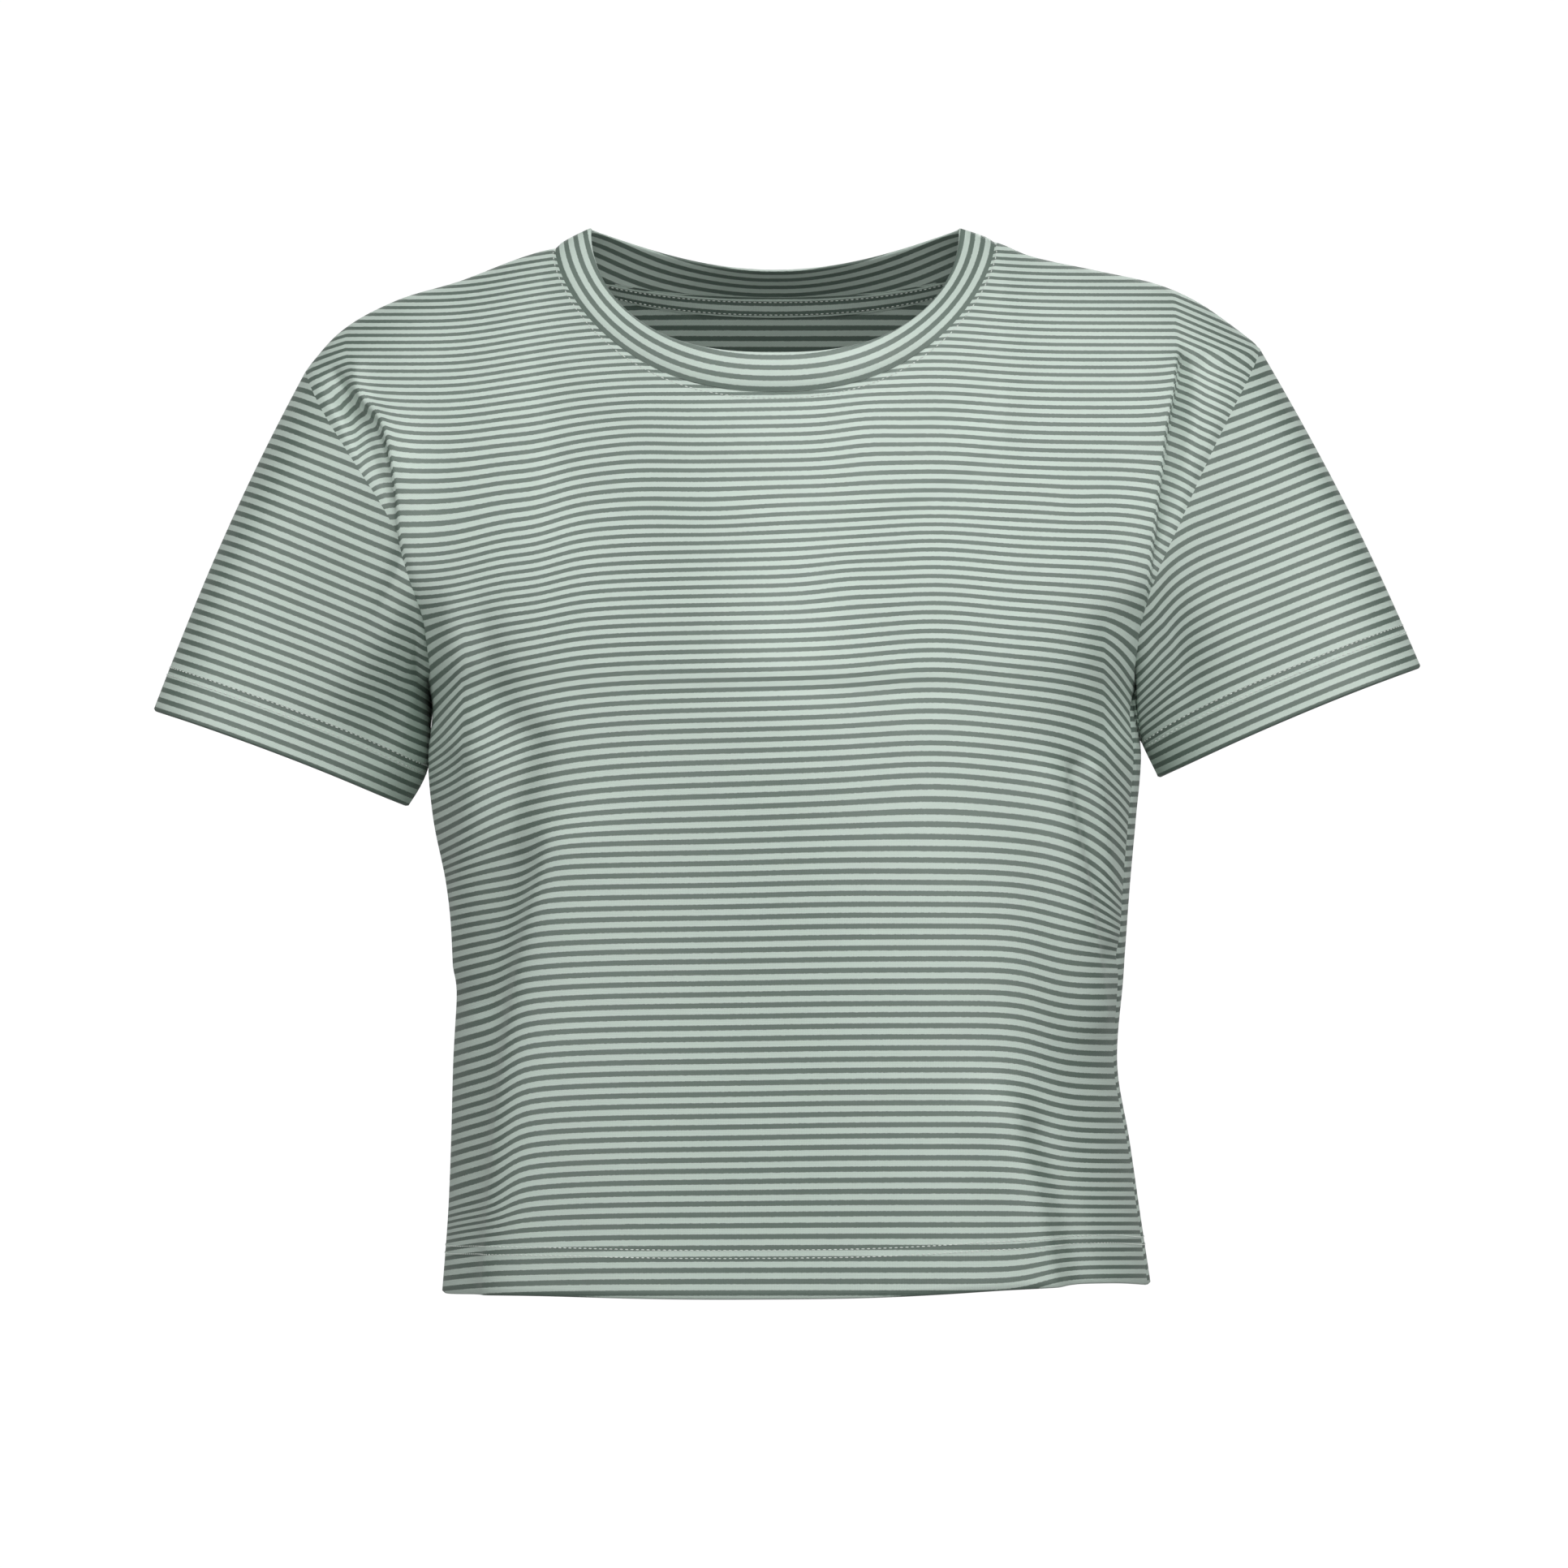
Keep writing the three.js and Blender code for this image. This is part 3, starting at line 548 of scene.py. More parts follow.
def dipped(points, sides):
    """The same cloth, dipping into the seams along the sides named."""
    across = run_lengths(points, 1)
    along = run_lengths(points, 0)
    gaps = {
        "first column": across,
        "last column": across[:, -1:] - across,
        "first row": along,
        "last row": along[-1:] - along,
    }
    nearest = np.minimum.reduce([gaps[side] for side in sides])
    depth = SEAM_DIP * np.exp(-((nearest / SEAM_REACH) ** 2))
    return points - grid_normals(points) * depth[..., None]


# Hems. The lower edges of the panels and sleeves are turned up inside by 22 mm, with a soft fold at
# the edge, and two lines of stitches hold them.
HEM_DEPTH = 22
HEM_ROWS = 8
HEM_LAYER = 2.1
HEM_FOLD = 0.4


def line_at(points, distance):
    """Line on the cloth as far from its first row as the distance says, and which way is outward."""
    along = run_lengths(points, 0)
    outward = grid_normals(points)
    line = np.zeros(points.shape[1:])
    out = np.zeros(points.shape[1:])
    for column in range(points.shape[1]):
        for axis in range(3):
            line[column, axis] = np.interp(distance, along[:, column], points[:, column, axis])
            out[column, axis] = np.interp(distance, along[:, column], outward[:, column, axis])
    return line, out


def turned_up(points, measures):
    """Cloth with its first row as the hem, and the turn-up added before it."""
    depths = np.linspace(HEM_DEPTH, 0, HEM_ROWS + 1)
    lines = [line_at(points, depth) for depth in depths]
    inside = np.array([line - out * HEM_LAYER for line, out in lines])
    beyond = unit(points[:1] - points[1:2]) * HEM_LAYER * HEM_FOLD
    fold = (points[:1] + inside[-1:]) / 2 + beyond
    hem = measures[:1]
    turned = np.array([hem[0] - np.array([0, depth]) for depth in depths])
    return np.concatenate([inside, fold, points]), np.concatenate([turned, hem, measures])


# Cut cloth. Each piece is one thin sheet of the jersey, laid on the form that it hangs in. All are
# sewn to each other and ride on the one body of the part.
SAME_POINT = 1e-6


def placed(name, shape, material):
    """A finished shape as an object of the scene."""
    mesh = bpy.data.meshes.new(name)
    shape.to_mesh(mesh)
    shape.free()
    mesh.materials.append(material)
    made = bpy.data.objects.new(name, mesh)
    bpy.context.collection.objects.link(made)
    return made


def cloth_object(name, points, measures, material, wall=CLOTH_WALL, ring=False):
    """A piece of cloth: a grid laid in place, with its cloth measure, and given its thickness."""
    rows, columns = points.shape[0] - 1, points.shape[1] - 1
    shape = bmesh.new()
    measure = shape.loops.layers.uv.new("cloth")
    bmesh.ops.create_grid(shape, x_segments=columns, y_segments=rows, size=1)
    flat = np.array([vertex.co[:2] for vertex in shape.verts])
    order = np.lexsort((flat[:, 0].round(5), flat[:, 1].round(5)))
    shape.verts.ensure_lookup_table()
    marks = {}
    for number, place, mark in zip(order, points.reshape(-1, 3), measures.reshape(-1, 2)):
        shape.verts[number].co = place * MM
        marks[int(number)] = mark * MM
    for face in shape.faces:
        face.smooth = True
        for loop in face.loops:
            loop[measure].uv = marks[loop.vert.index]
    if ring:
        bmesh.ops.remove_doubles(shape, verts=shape.verts, dist=SAME_POINT)
    for edge in shape.edges:
        edge.smooth = not edge.is_boundary
    made = placed(name, shape, material)
    if wall:
        thick = made.modifiers.new("wall", "SOLIDIFY")
        thick.thickness = wall * MM
        thick.offset = -1
    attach(made, "root")
    return made


def panel_lay(panel):
    """Where each grid point of a front or back panel lies, before hems and seams are worked."""
    base_columns = 2 * SHOULDER_COLUMNS + NECK_COLUMNS[panel]

    def lay(column, k):
        j = base_columns - column if panel == "back" else column
        shoulder_right = np.clip(j / SHOULDER_COLUMNS, 0, 1)
        shoulder_left = np.clip((j - SHOULDER_COLUMNS - NECK_COLUMNS[panel]) / SHOULDER_COLUMNS, 0, 1)
        turn = np.pi * (np.clip((j - SHOULDER_COLUMNS) / NECK_COLUMNS[panel], 0, 1) - 0.5)
        neck_x = NECK_CENTRE + NECK_HALF * np.sin(turn)
        side = np.where(turn < 0, -1, 1)
        neck_end = NECK_CENTRE + side * NECK_HALF
        end_z = read(SHOULDER_LINE, "x", "z", neck_end)
        neck = NECK[panel]
        neck_z = blend(end_z, neck["z"], oval(turn, neck["square"], neck["bow"]))
        right_x = blend(SHOULDER_LINE["x"][0], NECK_CENTRE - NECK_HALF, shoulder_right)
        left_x = blend(NECK_CENTRE + NECK_HALF, SHOULDER_LINE["x"][-1], shoulder_left)
        on_right = j < SHOULDER_COLUMNS
        on_left = j > SHOULDER_COLUMNS + NECK_COLUMNS[panel]
        top_x = np.where(on_right, right_x, np.where(on_left, left_x, neck_x))
        top_z = np.where(on_right | on_left, read(SHOULDER_LINE, "x", "z", top_x), neck_z)
        left = top_x > section(top_z)["centre"]
        reach = turn_at(top_x, section(top_z)) / edge_turn(panel, left, top_z)
        tip = (j <= 0) | (j >= base_columns)
        top_share = np.where(left, 1, -1) * np.where(tip, 1, reach)
        hem_share = 2 * j / base_columns - 1
        share = blend(hem_share, top_share, (k / ROWS) ** FAN)
        beside = np.clip((k - ROWS_BELOW) / ROWS_BESIDE, 0, 1)
        below = np.clip(k / ROWS_BELOW, 0, 1)
        hem = read(HEM, "share", panel, hem_share)
        rise = blend(ease(beside, 0, 1), beside, EVEN_ROWS)
        z = blend(blend(hem, UNDERARM, below), top_z, rise)
        side = np.where(share > 0, 1, -1)
        turn = np.abs(share) * edge_turn(panel, share > 0, z)
        points = body_point(turn, side, panel == "front", z)
        at_tip = (tip & (k >= ROWS))[..., None]
        return np.where(at_tip, np.stack([top_x, np.full_like(z, SIDE_Y), z], axis=-1), points)

    return lay


# Stitches. They are of light thread, and each is a small raised grain, partly sunk in the cloth. The
# hems have two lines side by side, and the neck has one below its seam.
STITCH = {"pitch": 2.45, "long": 1.75, "wide": 0.62, "high": 0.5, "proud": 0.125, "aim": 0.5}
HEM_LINES = (17.7, 21.3)
NECK_LINE = 3.7
THREAD_GREEN = (0.78, 0.84, 0.79)
THREAD_ROUGHNESS = 0.7
PLY = {"scale": 2500.0, "detail": 1.0, "shade": 0.8}

thread_finish = Finish("sewing thread")
thread_finish.put(thread_finish.shader.inputs["Roughness"], THREAD_ROUGHNESS)
ply = thread_finish.node("ShaderNodeTexNoise", {}, Scale=PLY["scale"], Detail=PLY["detail"])
thread_shade = tuple(PLY["shade"] * part for part in THREAD_GREEN)
thread_colour = thread_finish.mix(ply, thread_shade, THREAD_GREEN)
thread_finish.put(thread_finish.shader.inputs["Base Color"], thread_colour)


def stitched(name, lines):
    """Rows of stitches along lines on the cloth."""
    shape = bmesh.new()
    for line, out in lines:
        run = np.concatenate([[0], np.cumsum(np.linalg.norm(np.diff(line, axis=0), axis=1))])
        for middle in np.arange(STITCH["pitch"], run[-1] - STITCH["pitch"], STITCH["pitch"]):
            stops = [middle - STITCH["aim"], middle, middle + STITCH["aim"]]
            places = [np.interp(stops, run, line[:, axis]) for axis in range(3)]
            before, place, after = np.stack(places, axis=-1)
            lift = unit(np.array([np.interp(middle, run, out[:, axis]) for axis in range(3)]))
            ahead = unit(after - before)
            beside = np.cross(lift, ahead)
            grain = Matrix.Identity(4)
            grain.col[0] = (*(ahead * STITCH["long"] / 2 * MM), 0)
            grain.col[1] = (*(beside * STITCH["wide"] / 2 * MM), 0)
            grain.col[2] = (*(lift * STITCH["high"] / 2 * MM), 0)
            grain.col[3] = (*((place + lift * STITCH["proud"]) * MM), 1)
            bmesh.ops.create_icosphere(shape, subdivisions=1, radius=1, matrix=grain)
    for face in shape.faces:
        face.smooth = True
    made = placed(name, shape, thread_finish.material)
    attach(made, "root")
    return made


# Front panel. It is cut in one piece, neck to hem, and sewn to the back at the sides and shoulders.
# Its stripes run level over the chest, sag to the wearer's right side below the bust and drag up
# towards the left armpit.
STRIPES_UP = table(
    "seen count",
    (-243, -1.2), (-236.5, 0), (-184.5, 10), (-133.5, 20), (-81.9, 30), (-30.9, 40), (21.1, 50),
    (66.8, 60), (109, 70), (150.5, 80), (189.5, 90), (223.6, 100), (255, 110),
)
# How far the stripes sag on the wearer's right: a step down and where it lies, then a spread that
# grows outwards up to its limit. On the left: a step down, and a pull that grows outwards as fast
# as its reach says. Lift is how far they rise between the left armhole and the middle, and lean how
# far the whole stripe drops to the right and rises to the left.
SAG = table(
    "count right_step step_at right_spread limit left_step left_pull reach lift lean",
    (0, 0, -128, 1, 34, -8.3, 0, 18.9, 0, 0),
    (5, 0, -129, 2.3, 34, -1.9, 0, 18.9, 0, 0.2),
    (10, 7.5, -129.8, 4.2, 34, 4.5, 0, 18.9, 0, 0.5),
    (15, 7.5, -128.6, 4.2, 34, 7.9, 0, 18.9, 0, 0.7),
    (25, 7.5, -128.6, 4.2, 34, 7.9, 0, 18.9, 0, 0.6),
    (30, 5.3, -128.6, 4.2, 34, 7.9, 0, 18.9, 0, 0.7),
    (40, 7.5, -115.4, 4.2, 34, 0, 32, 18.9, 0, 1.2),
    (45, 0, -115.4, 12.1, 34, 0, 26.4, 18.9, 2.3, 1.2),
    (50, 0, -128, 12.1, 34, 0, 26.4, 18.9, 2.3, 0.9),
    (55, 0, -128, 11.3, 34, 0, 17.4, 17, 3.4, 0.7),
    (60, 0, -128, 9.8, 28, 0, 11.7, 13.2, 3.8, 0.6),
    (65, 0, -128, 9.4, 17, 0, 4.9, 13.2, 3.8, 0.6),
    (70, 0, -128, 10.7, 18, 0, 2.3, 13.2, 3.4, 0.7),
    (75, 0, -128, 12.1, 18.9, 0, 1.5, 13.2, 1.9, 0.5),
    (80, 0, -128, 10.6, 15, 0, 0.8, 13.2, 3, 0.3),
    (85, 0, -128, 9.1, 11.3, 0, 0, 13.2, 3, 0.5),
)
SAG_STEP_WIDTH = 3.8
SAG_EDGE = -128.6
SAG_SPREAD_REACH = 28.3
LEFT_STEP_AT = 120
LEFT_STEP_WIDTH = 6.8
LEFT_EDGE = 160.7
LEFT_BEYOND = 15
LIFT_AT = 69.4
LIFT_REACH = 34
LEAN_REACH = 40
SAG_ROUNDS = 2
STEEPEST = 20
# Single waves of the stripes on the chest, as the camera sees them: where, how wide and high, and
# how far the stripes drop there.
WAVES = table(
    "x height wide high drop",
    (-115, 118, 15, 55, 2.4),
    (-70, 160, 20, 25, -1.2),
    (-33, 126, 25, 12, 1.4),
    (38, 165, 16, 22, -1.6),
    (30, 95, 18, 17, -1.6),
    (-140, 22, 16, 15, 1.6),
    (135, 130, 14, 12, 0.9),
    (140, 70, 14, 20, 0.9),
)


def seen(points):
    """Places as the camera sees them, brought to the plane of the shoulders."""
    nearer = 1 + points[..., 1] / EYE_DISTANCE
    return points[..., 0] / nearer, (points[..., 2] - EYE_HEIGHT) / nearer


def logistic(value):
    return 1 / (1 + np.exp(np.clip(-value, -STEEPEST, STEEPEST)))


# In the strips outside the armhole creases the stripes start lower, by a step, and slope down or
# wave. Inside the creases they bend up to the edge at the top. Beside the armpits they are pulled
# down. Each of these comes or goes over a range of heights.
STRIPS = {
    "right": {"bend": 3.4, "step": 1.8, "slope": 0.3, "wave": 2},
    "left": {"bend": 1.5, "step": 2.6, "slope": 0.42, "wave": 0.6},
}
STRIP_BEND_REACH = 7
STRIP_STEP_REACH = 1.8
STRIP_WAVE_WIDTH = 16
STRIP_WIDEST = 48
STRIP_BENDS = (-125, -80)
STRIP_SLOPES = (-176, -150)
PULL_AT = 145
PULL_SLOPE = 0.6
PULL_COMES = (-262, -225)
PULL_GOES = (-208, -165)


def strip_sag(points):
    """How far the stripes drop beside the armholes."""
    x, z = points[..., 0], points[..., 2]
    out = past_crease("front", x, z)
    outside = np.minimum(np.maximum(out, 0), STRIP_WIDEST)
    reach = STRIP_STEP_REACH + crease_softness("front", x, z)
    bends = ease(z, *STRIP_BENDS)
    sag = np.zeros_like(x)
    for side, strip in STRIPS.items():
        bend = -strip["bend"] * np.exp(np.minimum(out, 0) / STRIP_BEND_REACH) * bends
        step = (strip["step"] + strip["bend"] * bends) * ease(out, 0, reach)
        wave = -strip["wave"] * np.sin(np.pi * np.clip(outside / STRIP_WAVE_WIDTH, 0, 1))
        slope = strip["slope"] * outside * ease(z, *STRIP_SLOPES)
        here = x < 0 if side == "right" else x > 0
        sag = np.where(here, (bend + step + wave) * crease_share("front", x, z) + slope, sag)
    armpit = np.maximum(np.abs(x) - PULL_AT, 0) * ease(z, *PULL_COMES) * (1 - ease(z, *PULL_GOES))
    return sag + PULL_SLOPE * armpit


def front_stripes(points):
    """How many stripes up the cloth a place on the front lies."""
    x, height = seen(points)
    height = height + strip_sag(points)
    for at_x, at_height, wide, high, drop in zip(*WAVES.values()):
        height = height + drop * np.exp(-(((x - at_x) / wide) ** 2) - ((height - at_height) / high) ** 2)
    count = read(STRIPES_UP, "seen", "count", height)
    for _ in range(SAG_ROUNDS):
        row = {name: read(SAG, "count", name, count) for name in SAG if name != "count"}
        step = row["right_step"] * logistic((row["step_at"] - x) / SAG_STEP_WIDTH)
        spread = row["right_spread"] * np.exp((SAG_EDGE - x) / SAG_SPREAD_REACH)
        spread = row["limit"] * np.tanh(spread / row["limit"])
        beyond = np.minimum(x - LEFT_EDGE, LEFT_BEYOND)
        left = row["left_step"] * logistic((x - LEFT_STEP_AT) / LEFT_STEP_WIDTH)
        left += row["left_pull"] * np.exp(beyond / row["reach"])
        lift = row["lift"] * np.exp(-(((x - LIFT_AT) / LIFT_REACH) ** 2))
        lean = row["lean"] * np.tanh(-x / LEAN_REACH)
        count = read(STRIPES_UP, "seen", "count", height + step + spread + left - lift + lean)
    return count


def panel_numbers(panel):
    """Column and row number of each point of a panel: its columns are closer at the shoulders."""
    shoulder = np.arange(1, SHOULDER_COLUMNS * STEPS["shoulder"] + 1) / STEPS["shoulder"]
    neck = np.arange(0, NECK_COLUMNS[panel] * STEPS["neck"] + 1) / STEPS["neck"]
    before = SHOULDER_COLUMNS - shoulder[::-1]
    after = SHOULDER_COLUMNS + NECK_COLUMNS[panel] + shoulder
    columns = np.concatenate([before, SHOULDER_COLUMNS + neck, after])
    return np.meshgrid(columns, np.arange(ROWS * STEPS["row"] + 1.0) / STEPS["row"])


def neck_part(points, panel):
    """The cloth below the neck seam, with the seam as its first row."""
    first = SHOULDER_COLUMNS * STEPS["shoulder"]
    last = first + int(NECK_COLUMNS[panel] * STEPS["neck"])
    return points[::-1, first:last + 1][:, ::-1]


front_points = panel_lay("front")(*panel_numbers("front"))
front_along = front_stripes(front_points) * STRIPE_PITCH
front_measure = np.stack([run_lengths(front_points, 1), front_along], axis=-1)
front_points = dipped(front_points, ("first column", "last column", "last row"))
front_sewing = stitched("front_stitches", [
    *[line_at(front_points, distance) for distance in HEM_LINES],
    line_at(neck_part(front_points, "front"), NECK_LINE),
])
front = cloth_object("front_panel", *turned_up(front_points, front_measure), striped)
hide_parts("front")


# Back panel. It is cut in one piece like the front, with a shallower neck, and sewn to it at the
# sides and shoulders. Its stripes run level, and at the shoulders they follow the cloth up.
OVER_SHOULDER = 80
SHOULDER_STEPS = 32
BACK_STRIPE_START = 2.1


def level_stripes(panel, points):
    """Length of cloth straight up from the hem's height to each place."""
    x, z = points[..., 0], points[..., 2]
    plan = section(z)
    share = np.clip(np.abs(x - plan["centre"]) / plan["half"], 0, 1)
    depth = np.maximum(plan[panel] * (1 - share ** plan["square"]) ** (1 / plan["square"]), 1)
    drop = np.clip(read(SHOULDER_LINE, "x", "z", x) - z, 0, OVER_SHOULDER)
    steps = blend(float(OVER_SHOULDER), drop[..., None], np.linspace(0, 1, SHOULDER_STEPS))
    top = np.maximum(shoulder_depth(x[..., None], steps, SHOULDER_TOP[panel]), LEAST_DEPTH)
    kept = (depth[..., None] ** -SOFT_CORNER + top**-SOFT_CORNER) ** (-1 / SOFT_CORNER)
    run = np.hypot(np.diff(kept, axis=-1), np.diff(steps, axis=-1)).sum(axis=-1)
    return z - points[:1, :, 2].mean() + run - (OVER_SHOULDER - drop)


back_points = panel_lay("back")(*panel_numbers("back"))
back_along = level_stripes("back", back_points) + BACK_STRIPE_START
back_measure = np.stack([run_lengths(back_points, 1), back_along], axis=-1)
back_points = dipped(back_points, ("first column", "last column", "last row"))
back_sewing = stitched("back_stitches", [
    *[line_at(back_points, distance) for distance in HEM_LINES],
    line_at(neck_part(back_points, "back"), NECK_LINE),
])
back = cloth_object("back_panel", *turned_up(back_points, back_measure), striped)
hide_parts("back")


# Sleeves. Each is one piece of the jersey, closed to a tube under the arm and set into its armhole.
# The hems are straight, and the stripes run parallel to them, so they slope against the body's.
CUFF_DEPTH = 39
CUFF_Y = 1
CUFF_SQUARE = 2.2
CUFF_RISE = 2.4
CUFFS = {
    "right": {"outer": (-292.7, CUFF_Y, -217), "inner": (-174.6, CUFF_Y, -262)},
    "left": {"outer": (295.7, CUFF_Y, -197), "inner": (173.8, CUFF_Y, -248.5)},
}
SPREAD = {"shoulder": 0.13, "underarm": -0.3}
SLEEVE_REACH = 0.36
FOLDS_FROM_SEAM = 11
SLEEVE_GRID = {"around": 120, "along": 72}
# Folds of the sleeves: how far round (0 at the underarm, 0.5 at the front, 1 at the shoulder, 1.5 at
# the back), how far down they start and end, their rise, and their width on the way there and past
# it. All of them grow over the first eleventh of the sleeve.
SLEEVE_FOLDS = {
    "right": table(
        "round start end rise before after",
        (0, 0.25, 1, 2.6, 0.12, 0.12),
        (2, 0.25, 1, 2.6, 0.12, 0.12),
        (0.12, 0, 1, 3.5, 0.1, 0.1),
        (0.3, 0, 0.9, -8, 0.09, 0.12),
        (0.2, -0.4, 0.7, -6, 0.08, 0.1),
        (0.62, 0.2, 1, -3, 0.12, 0.09),
        (0.82, 0, 0.85, 2.5, 0.09, 0.07),
        (1.35, 0.1, 0.9, -3.5, 0.1, 0.12),
        (1.7, 0, 0.9, -4, 0.11, 0.1),
    ),
    "left": table(
        "round start end rise before after",
        (0.12, 0, 1, 3.5, 0.1, 0.1),
        (0.28, 0, 0.85, -8, 0.09, 0.12),
        (0.2, -0.4, 0.7, -6, 0.08, 0.1),
        (0.55, 0.1, 0.95, -2.5, 0.12, 0.09),
        (0.86, 0, 0.8, 3, 0.09, 0.06),
        (1.4, 0.1, 0.95, -3.5, 0.1, 0.12),
        (1.72, 0, 0.85, -4, 0.11, 0.1),
    ),
}


def grid_numbers(columns, rows):
    """Column and row number of each point of a grid."""
    return np.meshgrid(np.arange(columns + 1.0), np.arange(rows + 1.0))


def armhole_ring(side):
    """Places round an armhole, from the underarm over the front edge to the shoulder and down the
    back, and how far round each lies: 0 at the underarm, 1 at the shoulder, towards 2."""
    half = SLEEVE_GRID["around"] // 2
    up = front_points[-half - 1:, 0 if side == "right" else -1]
    down = back_points[-half - 1:, -1 if side == "right" else 0]
    ring = np.concatenate([up, down[-2::-1]])
    along = np.concatenate([[0], np.cumsum(np.linalg.norm(np.diff(ring, axis=0), axis=1))])
    front_share = along / along[half]
    back_share = 1 + (along - along[half]) / (along[-1] - along[half])
    return ring, np.where(np.arange(len(ring)) <= half, front_share, back_share)


def sleeve_grid(side):
    """Where each grid point of a sleeve lies: from its armhole on a smooth curve to its cuff."""
    cuff = {end: np.array(place, dtype=float) for end, place in CUFFS[side].items()}
    middle = (cuff["outer"] + cuff["inner"]) / 2
    hem_line = (cuff["outer"] - cuff["inner"]) / 2
    forward = np.array([0, -CUFF_DEPTH, 0])
    outward = np.array([-1 if side == "right" else 1, 0, 0])
    down = unit(np.array([hem_line[2], 0, -hem_line[0]]))
    down = -down * np.sign(down[2])
    ring, shares = armhole_ring(side)

    def soft(value):
        return (np.sign(value) * np.abs(value) ** (2 / CUFF_SQUARE))[..., None]

    def lay(column, row):
        number = column.astype(int)
        if side == "left":
            number = SLEEVE_GRID["around"] - number
        start, share = ring[number], shares[number]
        t = (row / SLEEVE_GRID["along"])[..., None]
        turn = np.pi * share
        end = middle - hem_line * soft(np.cos(turn)) + forward * soft(np.sin(turn))
        end = end - down * CUFF_RISE * np.sin(turn)[..., None] ** 2
        length = np.linalg.norm(start - end, axis=-1, keepdims=True)
        upper = (1 - np.cos(turn))[..., None] / 2
        leaving = unit(blend(down, outward, blend(SPREAD["underarm"], SPREAD["shoulder"], upper)))
        near = start + leaving * length * SLEEVE_REACH
        far = end - down * length * SLEEVE_REACH
        points = (1 - t) ** 3 * start + 3 * t * (1 - t) ** 2 * near
        points = points + 3 * t**2 * (1 - t) * far + t**3 * end
        away = unit(forward) * np.sin(turn)[..., None] - unit(hem_line) * np.cos(turn)[..., None]
        points = points + away * sleeve_fold(side, share, t[..., 0])[..., None]
        around = run_lengths(points, 1)
        along = run_lengths(points, 0)
        return points, np.stack([around, along[-1:] - along], axis=-1)

    return lay


def sleeve_fold(side, share, down):
    """Height of all folds of a sleeve: they fade out at the seam and where they end."""
    height = np.zeros_like(share)
    for centre, start, end, rise, before, after in zip(*SLEEVE_FOLDS[side].values()):
        along = np.clip((down - start) / (end - start), 0, 1)
        width = np.where(share < centre, before, after)
        height += rise * np.sin(np.pi * along) * np.exp(-(((share - centre) / width) ** 2))
    return height * np.clip(down * FOLDS_FROM_SEAM, 0, 1)


SLEEVE_LINES = (17, 20.6)
for side in ("right", "left"):
    points, measures = sleeve_grid(side)(*grid_numbers(SLEEVE_GRID["around"], SLEEVE_GRID["along"]))
    from_hem = points[::-1, ::-1]
    lines = [line_at(from_hem, distance) for distance in SLEEVE_LINES]
    sewing = stitched(f"sleeve_{side}_stitches", lines)
    points, measures = turned_up(from_hem, measures[::-1, ::-1])
    sleeve = cloth_object(f"sleeve_{side}_cloth", points, measures, striped, ring=True)
    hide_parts(f"sleeve_{side}")


# Neckband. It is a strip of the same jersey, cut along the stripes, folded double over its top edge
# and sewn into the neck with both edges inside. So its stripes run round the neck.
BAND_TOP_HALF = 86.5
BAND_TOP_SIDE = {"y": 9, "z": 7}
BAND_TOP_MIDDLE = {
    "front": {"y": -56, "z": -55.5, "square": 2.6, "bow": 1.92, "drop": 1.92},
    "back": {"y": 58, "z": -8.5, "square": 2, "bow": 2.2, "drop": 0.8},
}
BAND_BULGE = 0.8
BAND_GRID = {"around": 252, "along": 30}
BAND_THICK = 1.5
BAND_ROUND = 0.06
BAND_CREST = 0.45
BAND_STRIPE_START = 0.8


def band_columns():
    """Places of the neck seam and of the band's top edge, round from the wearer's right front."""
    whole = NECK_COLUMNS["front"] + NECK_COLUMNS["back"]
    at = np.arange(BAND_GRID["around"] + 1) / BAND_GRID["around"] * whole
    on_front = at <= NECK_COLUMNS["front"]
    past = np.where(on_front, at, at - NECK_COLUMNS["front"])
    share = past / np.where(on_front, NECK_COLUMNS["front"], NECK_COLUMNS["back"])
    column = SHOULDER_COLUMNS + past
    top_row = np.full_like(column, float(ROWS))
    seam = np.where(
        on_front[:, None],
        panel_lay("front")(column, top_row),
        panel_lay("back")(column, top_row),
    )
    turn = np.pi * (share - 0.5) * np.where(on_front, 1, -1)
    front_middle, back_middle = BAND_TOP_MIDDLE["front"], BAND_TOP_MIDDLE["back"]
    middle = {name: np.where(on_front, front_middle[name], back_middle[name]) for name in front_middle}
    top = np.stack([
        NECK_CENTRE + BAND_TOP_HALF * np.sin(turn),
        blend(BAND_TOP_SIDE["y"], middle["y"], oval(turn, middle["square"], middle["bow"])),
        blend(BAND_TOP_SIDE["z"], middle["z"], oval(turn, middle["square"], middle["drop"])),
    ], axis=-1)
    return seam, top


def band_grid(column, row):
    """The band goes up outside, over its fold and down inside."""
    seam, top = band_columns()
    number = column.astype(int)
    seam, top = seam[number], top[number]
    part = row / BAND_GRID["along"]
    up = np.minimum(np.minimum(part, 1 - part) / (0.5 - BAND_ROUND), 1)[..., None]
    away = np.stack([top[..., 0] - NECK_CENTRE, top[..., 1] - SIDE_Y, np.zeros_like(part)], axis=-1)
    away = unit(away)
    points = blend(seam, top, up) + away * BAND_BULGE * np.sin(np.pi * up)
    rising = unit(top - seam)
    inward = -unit(np.cross(np.gradient(seam, axis=1), rising))
    over = np.clip((part - 0.5 + BAND_ROUND) / (2 * BAND_ROUND), 0, 1)
    deep = (1 - np.cos(np.pi * over)) / 2 * BAND_THICK
    crest = np.sin(np.pi * over) * BAND_THICK * BAND_CREST
    points = points + inward * deep[..., None] + rising * crest[..., None]
    around = run_lengths(points, 1)
    along = run_lengths(points, 0) + BAND_STRIPE_START * STRIPE_PITCH
    return points, np.stack([around, along], axis=-1)


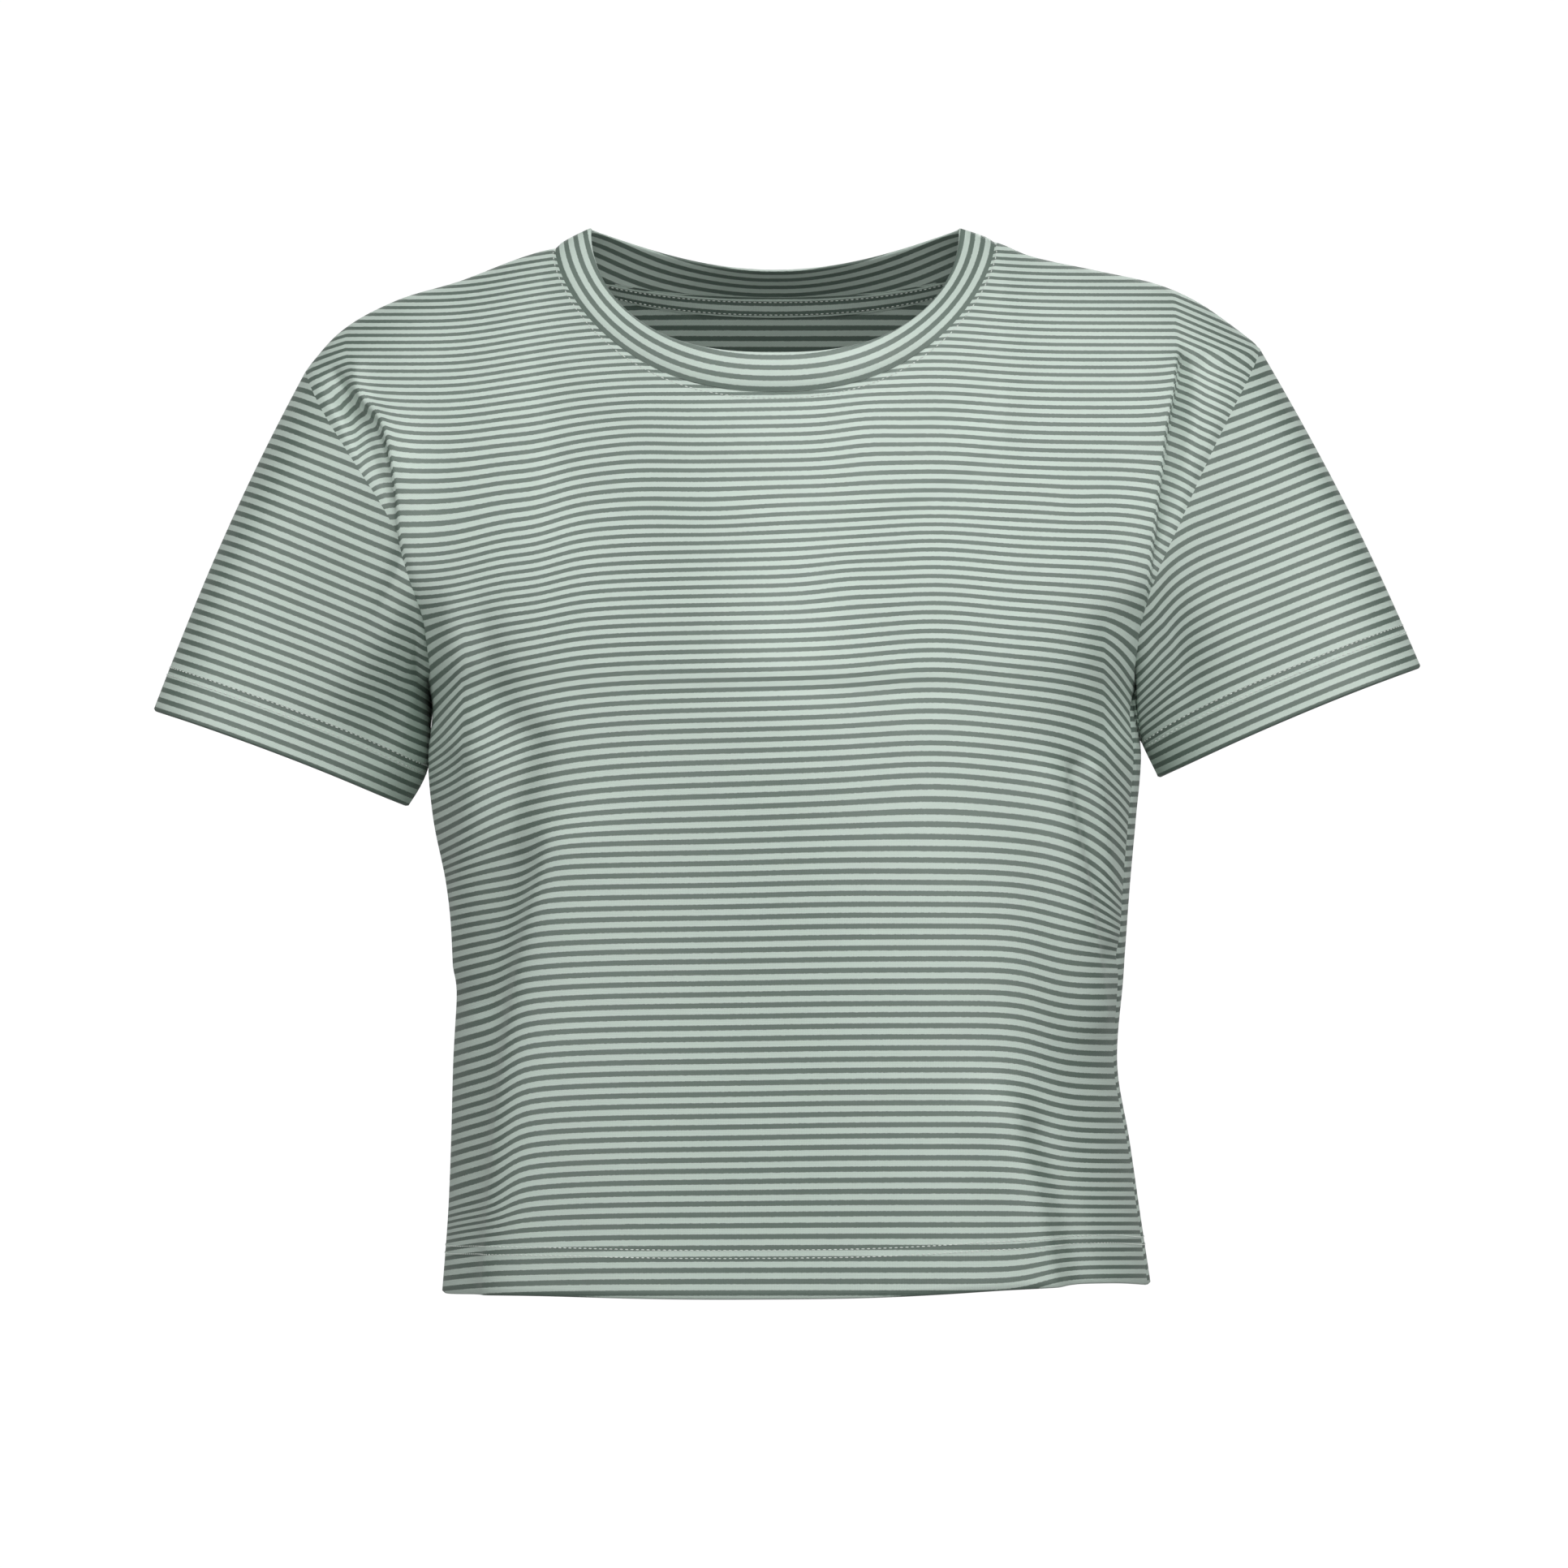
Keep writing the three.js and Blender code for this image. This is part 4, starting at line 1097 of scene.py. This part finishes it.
band_points, band_measure = band_grid(*grid_numbers(BAND_GRID["around"], BAND_GRID["along"]))
band_points = dipped(band_points, ("first row",))
neckband = cloth_object("neckband_cloth", band_points, band_measure, striped, wall=0, ring=True)
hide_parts("neckband")


# Neck tape. It is a narrow strip of the jersey that covers the back neck seam from the inside, with
# its long edges folded under and stitched down.
TAPE_GRID = {"around": 96, "along": 8}
TAPE_ENDS = 2
TAPE_TOP = 1.2
TAPE_BOTTOM = 10
TAPE_DEPTH = 1.7
TAPE_STRIPE_START = 1.9
TAPE_LINE = 1.3
TAPE_WALL = 0.6
ROW_BELOW = 0.5


def tape_grid(column, row):
    """The tape runs inside the back's neck edge, as far below it all along."""
    last = NECK_COLUMNS["back"] - 2 * TAPE_ENDS
    at = SHOULDER_COLUMNS + TAPE_ENDS + column / TAPE_GRID["around"] * last
    at = at[:, ::-1]
    top_row = np.full_like(at, float(ROWS))
    edge = panel_lay("back")(at, top_row)
    below = panel_lay("back")(at, top_row - ROW_BELOW)
    falling = unit(below - edge)
    inward = unit(np.cross(falling, np.gradient(edge, axis=1)))
    down = blend(TAPE_BOTTOM, TAPE_TOP, row / TAPE_GRID["along"])[..., None]
    points = edge + falling * down + inward * TAPE_DEPTH
    along = run_lengths(points, 0) - TAPE_STRIPE_START
    return points, np.stack([run_lengths(points, 1), along], axis=-1)


tape_points, tape_measure = tape_grid(*grid_numbers(TAPE_GRID["around"], TAPE_GRID["along"]))
tape_sewing = stitched("neck_tape_stitches", [
    line_at(tape_points, TAPE_LINE),
    line_at(tape_points, TAPE_BOTTOM - TAPE_TOP - TAPE_LINE),
])
tape = cloth_object("neck_tape_cloth", tape_points, tape_measure, striped, wall=TAPE_WALL)
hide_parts("neck_tape")


# The place it stands in: a plain white room whose floor lies well below the hem. Only the camera sees
# the room, so the light on the jersey is that of the lamps and the pale air around. The sizes and
# places of room and lamps are in metres.
ROOM = 16
FLOOR = -0.9
AIR_LIGHT = 0.2
LAMPS = {
    "above": {"place": (0.1, -1.2, 2.2), "aim": (0, 0, -0.15), "size": 1.5, "power": 24},
    "front": {"place": (0.3, -2.7, 1.5), "aim": (0, 0, -0.2), "size": 1.6, "power": 21},
    "left": {"place": (2.1, -2.0, -0.2), "aim": (0, 0, -0.3), "size": 2.2, "power": 27},
    "right": {"place": (-2.1, -2.0, -0.2), "aim": (0, 0, -0.3), "size": 2.2, "power": 23},
    "behind": {"place": (0.2, 2.6, 1.3), "aim": (0, 0, -0.2), "size": 1.6, "power": 26},
}

white = Finish("white walls")
white.put(white.shader.inputs["Base Color"], (0, 0, 0, 1))
white.put(white.shader.inputs["Emission Color"], (1, 1, 1, 1))
white.put(white.shader.inputs["Emission Strength"], 1.0)
surround = bmesh.new()
bmesh.ops.create_cube(surround, size=ROOM)
walls = placed("white room", surround, white.material)
walls.location = (0, 0, FLOOR + ROOM / 2)
walls.visible_diffuse = False
walls.visible_glossy = False
walls.visible_shadow = False

bpy.context.scene.view_settings.view_transform = "Standard"
air = bpy.data.worlds.new("air")
air.use_nodes = True
air.node_tree.nodes["Background"].inputs["Color"].default_value = (1, 1, 1, 1)
air.node_tree.nodes["Background"].inputs["Strength"].default_value = AIR_LIGHT
bpy.context.scene.world = air

for name, lamp in LAMPS.items():
    light = bpy.data.lights.new(name, "AREA")
    light.size = lamp["size"]
    light.energy = lamp["power"]
    source = bpy.data.objects.new(name, light)
    source.location = lamp["place"]
    facing = Vector(lamp["aim"]) - Vector(lamp["place"])
    source.rotation_euler = facing.to_track_quat("-Z", "Y").to_euler()
    bpy.context.collection.objects.link(source)
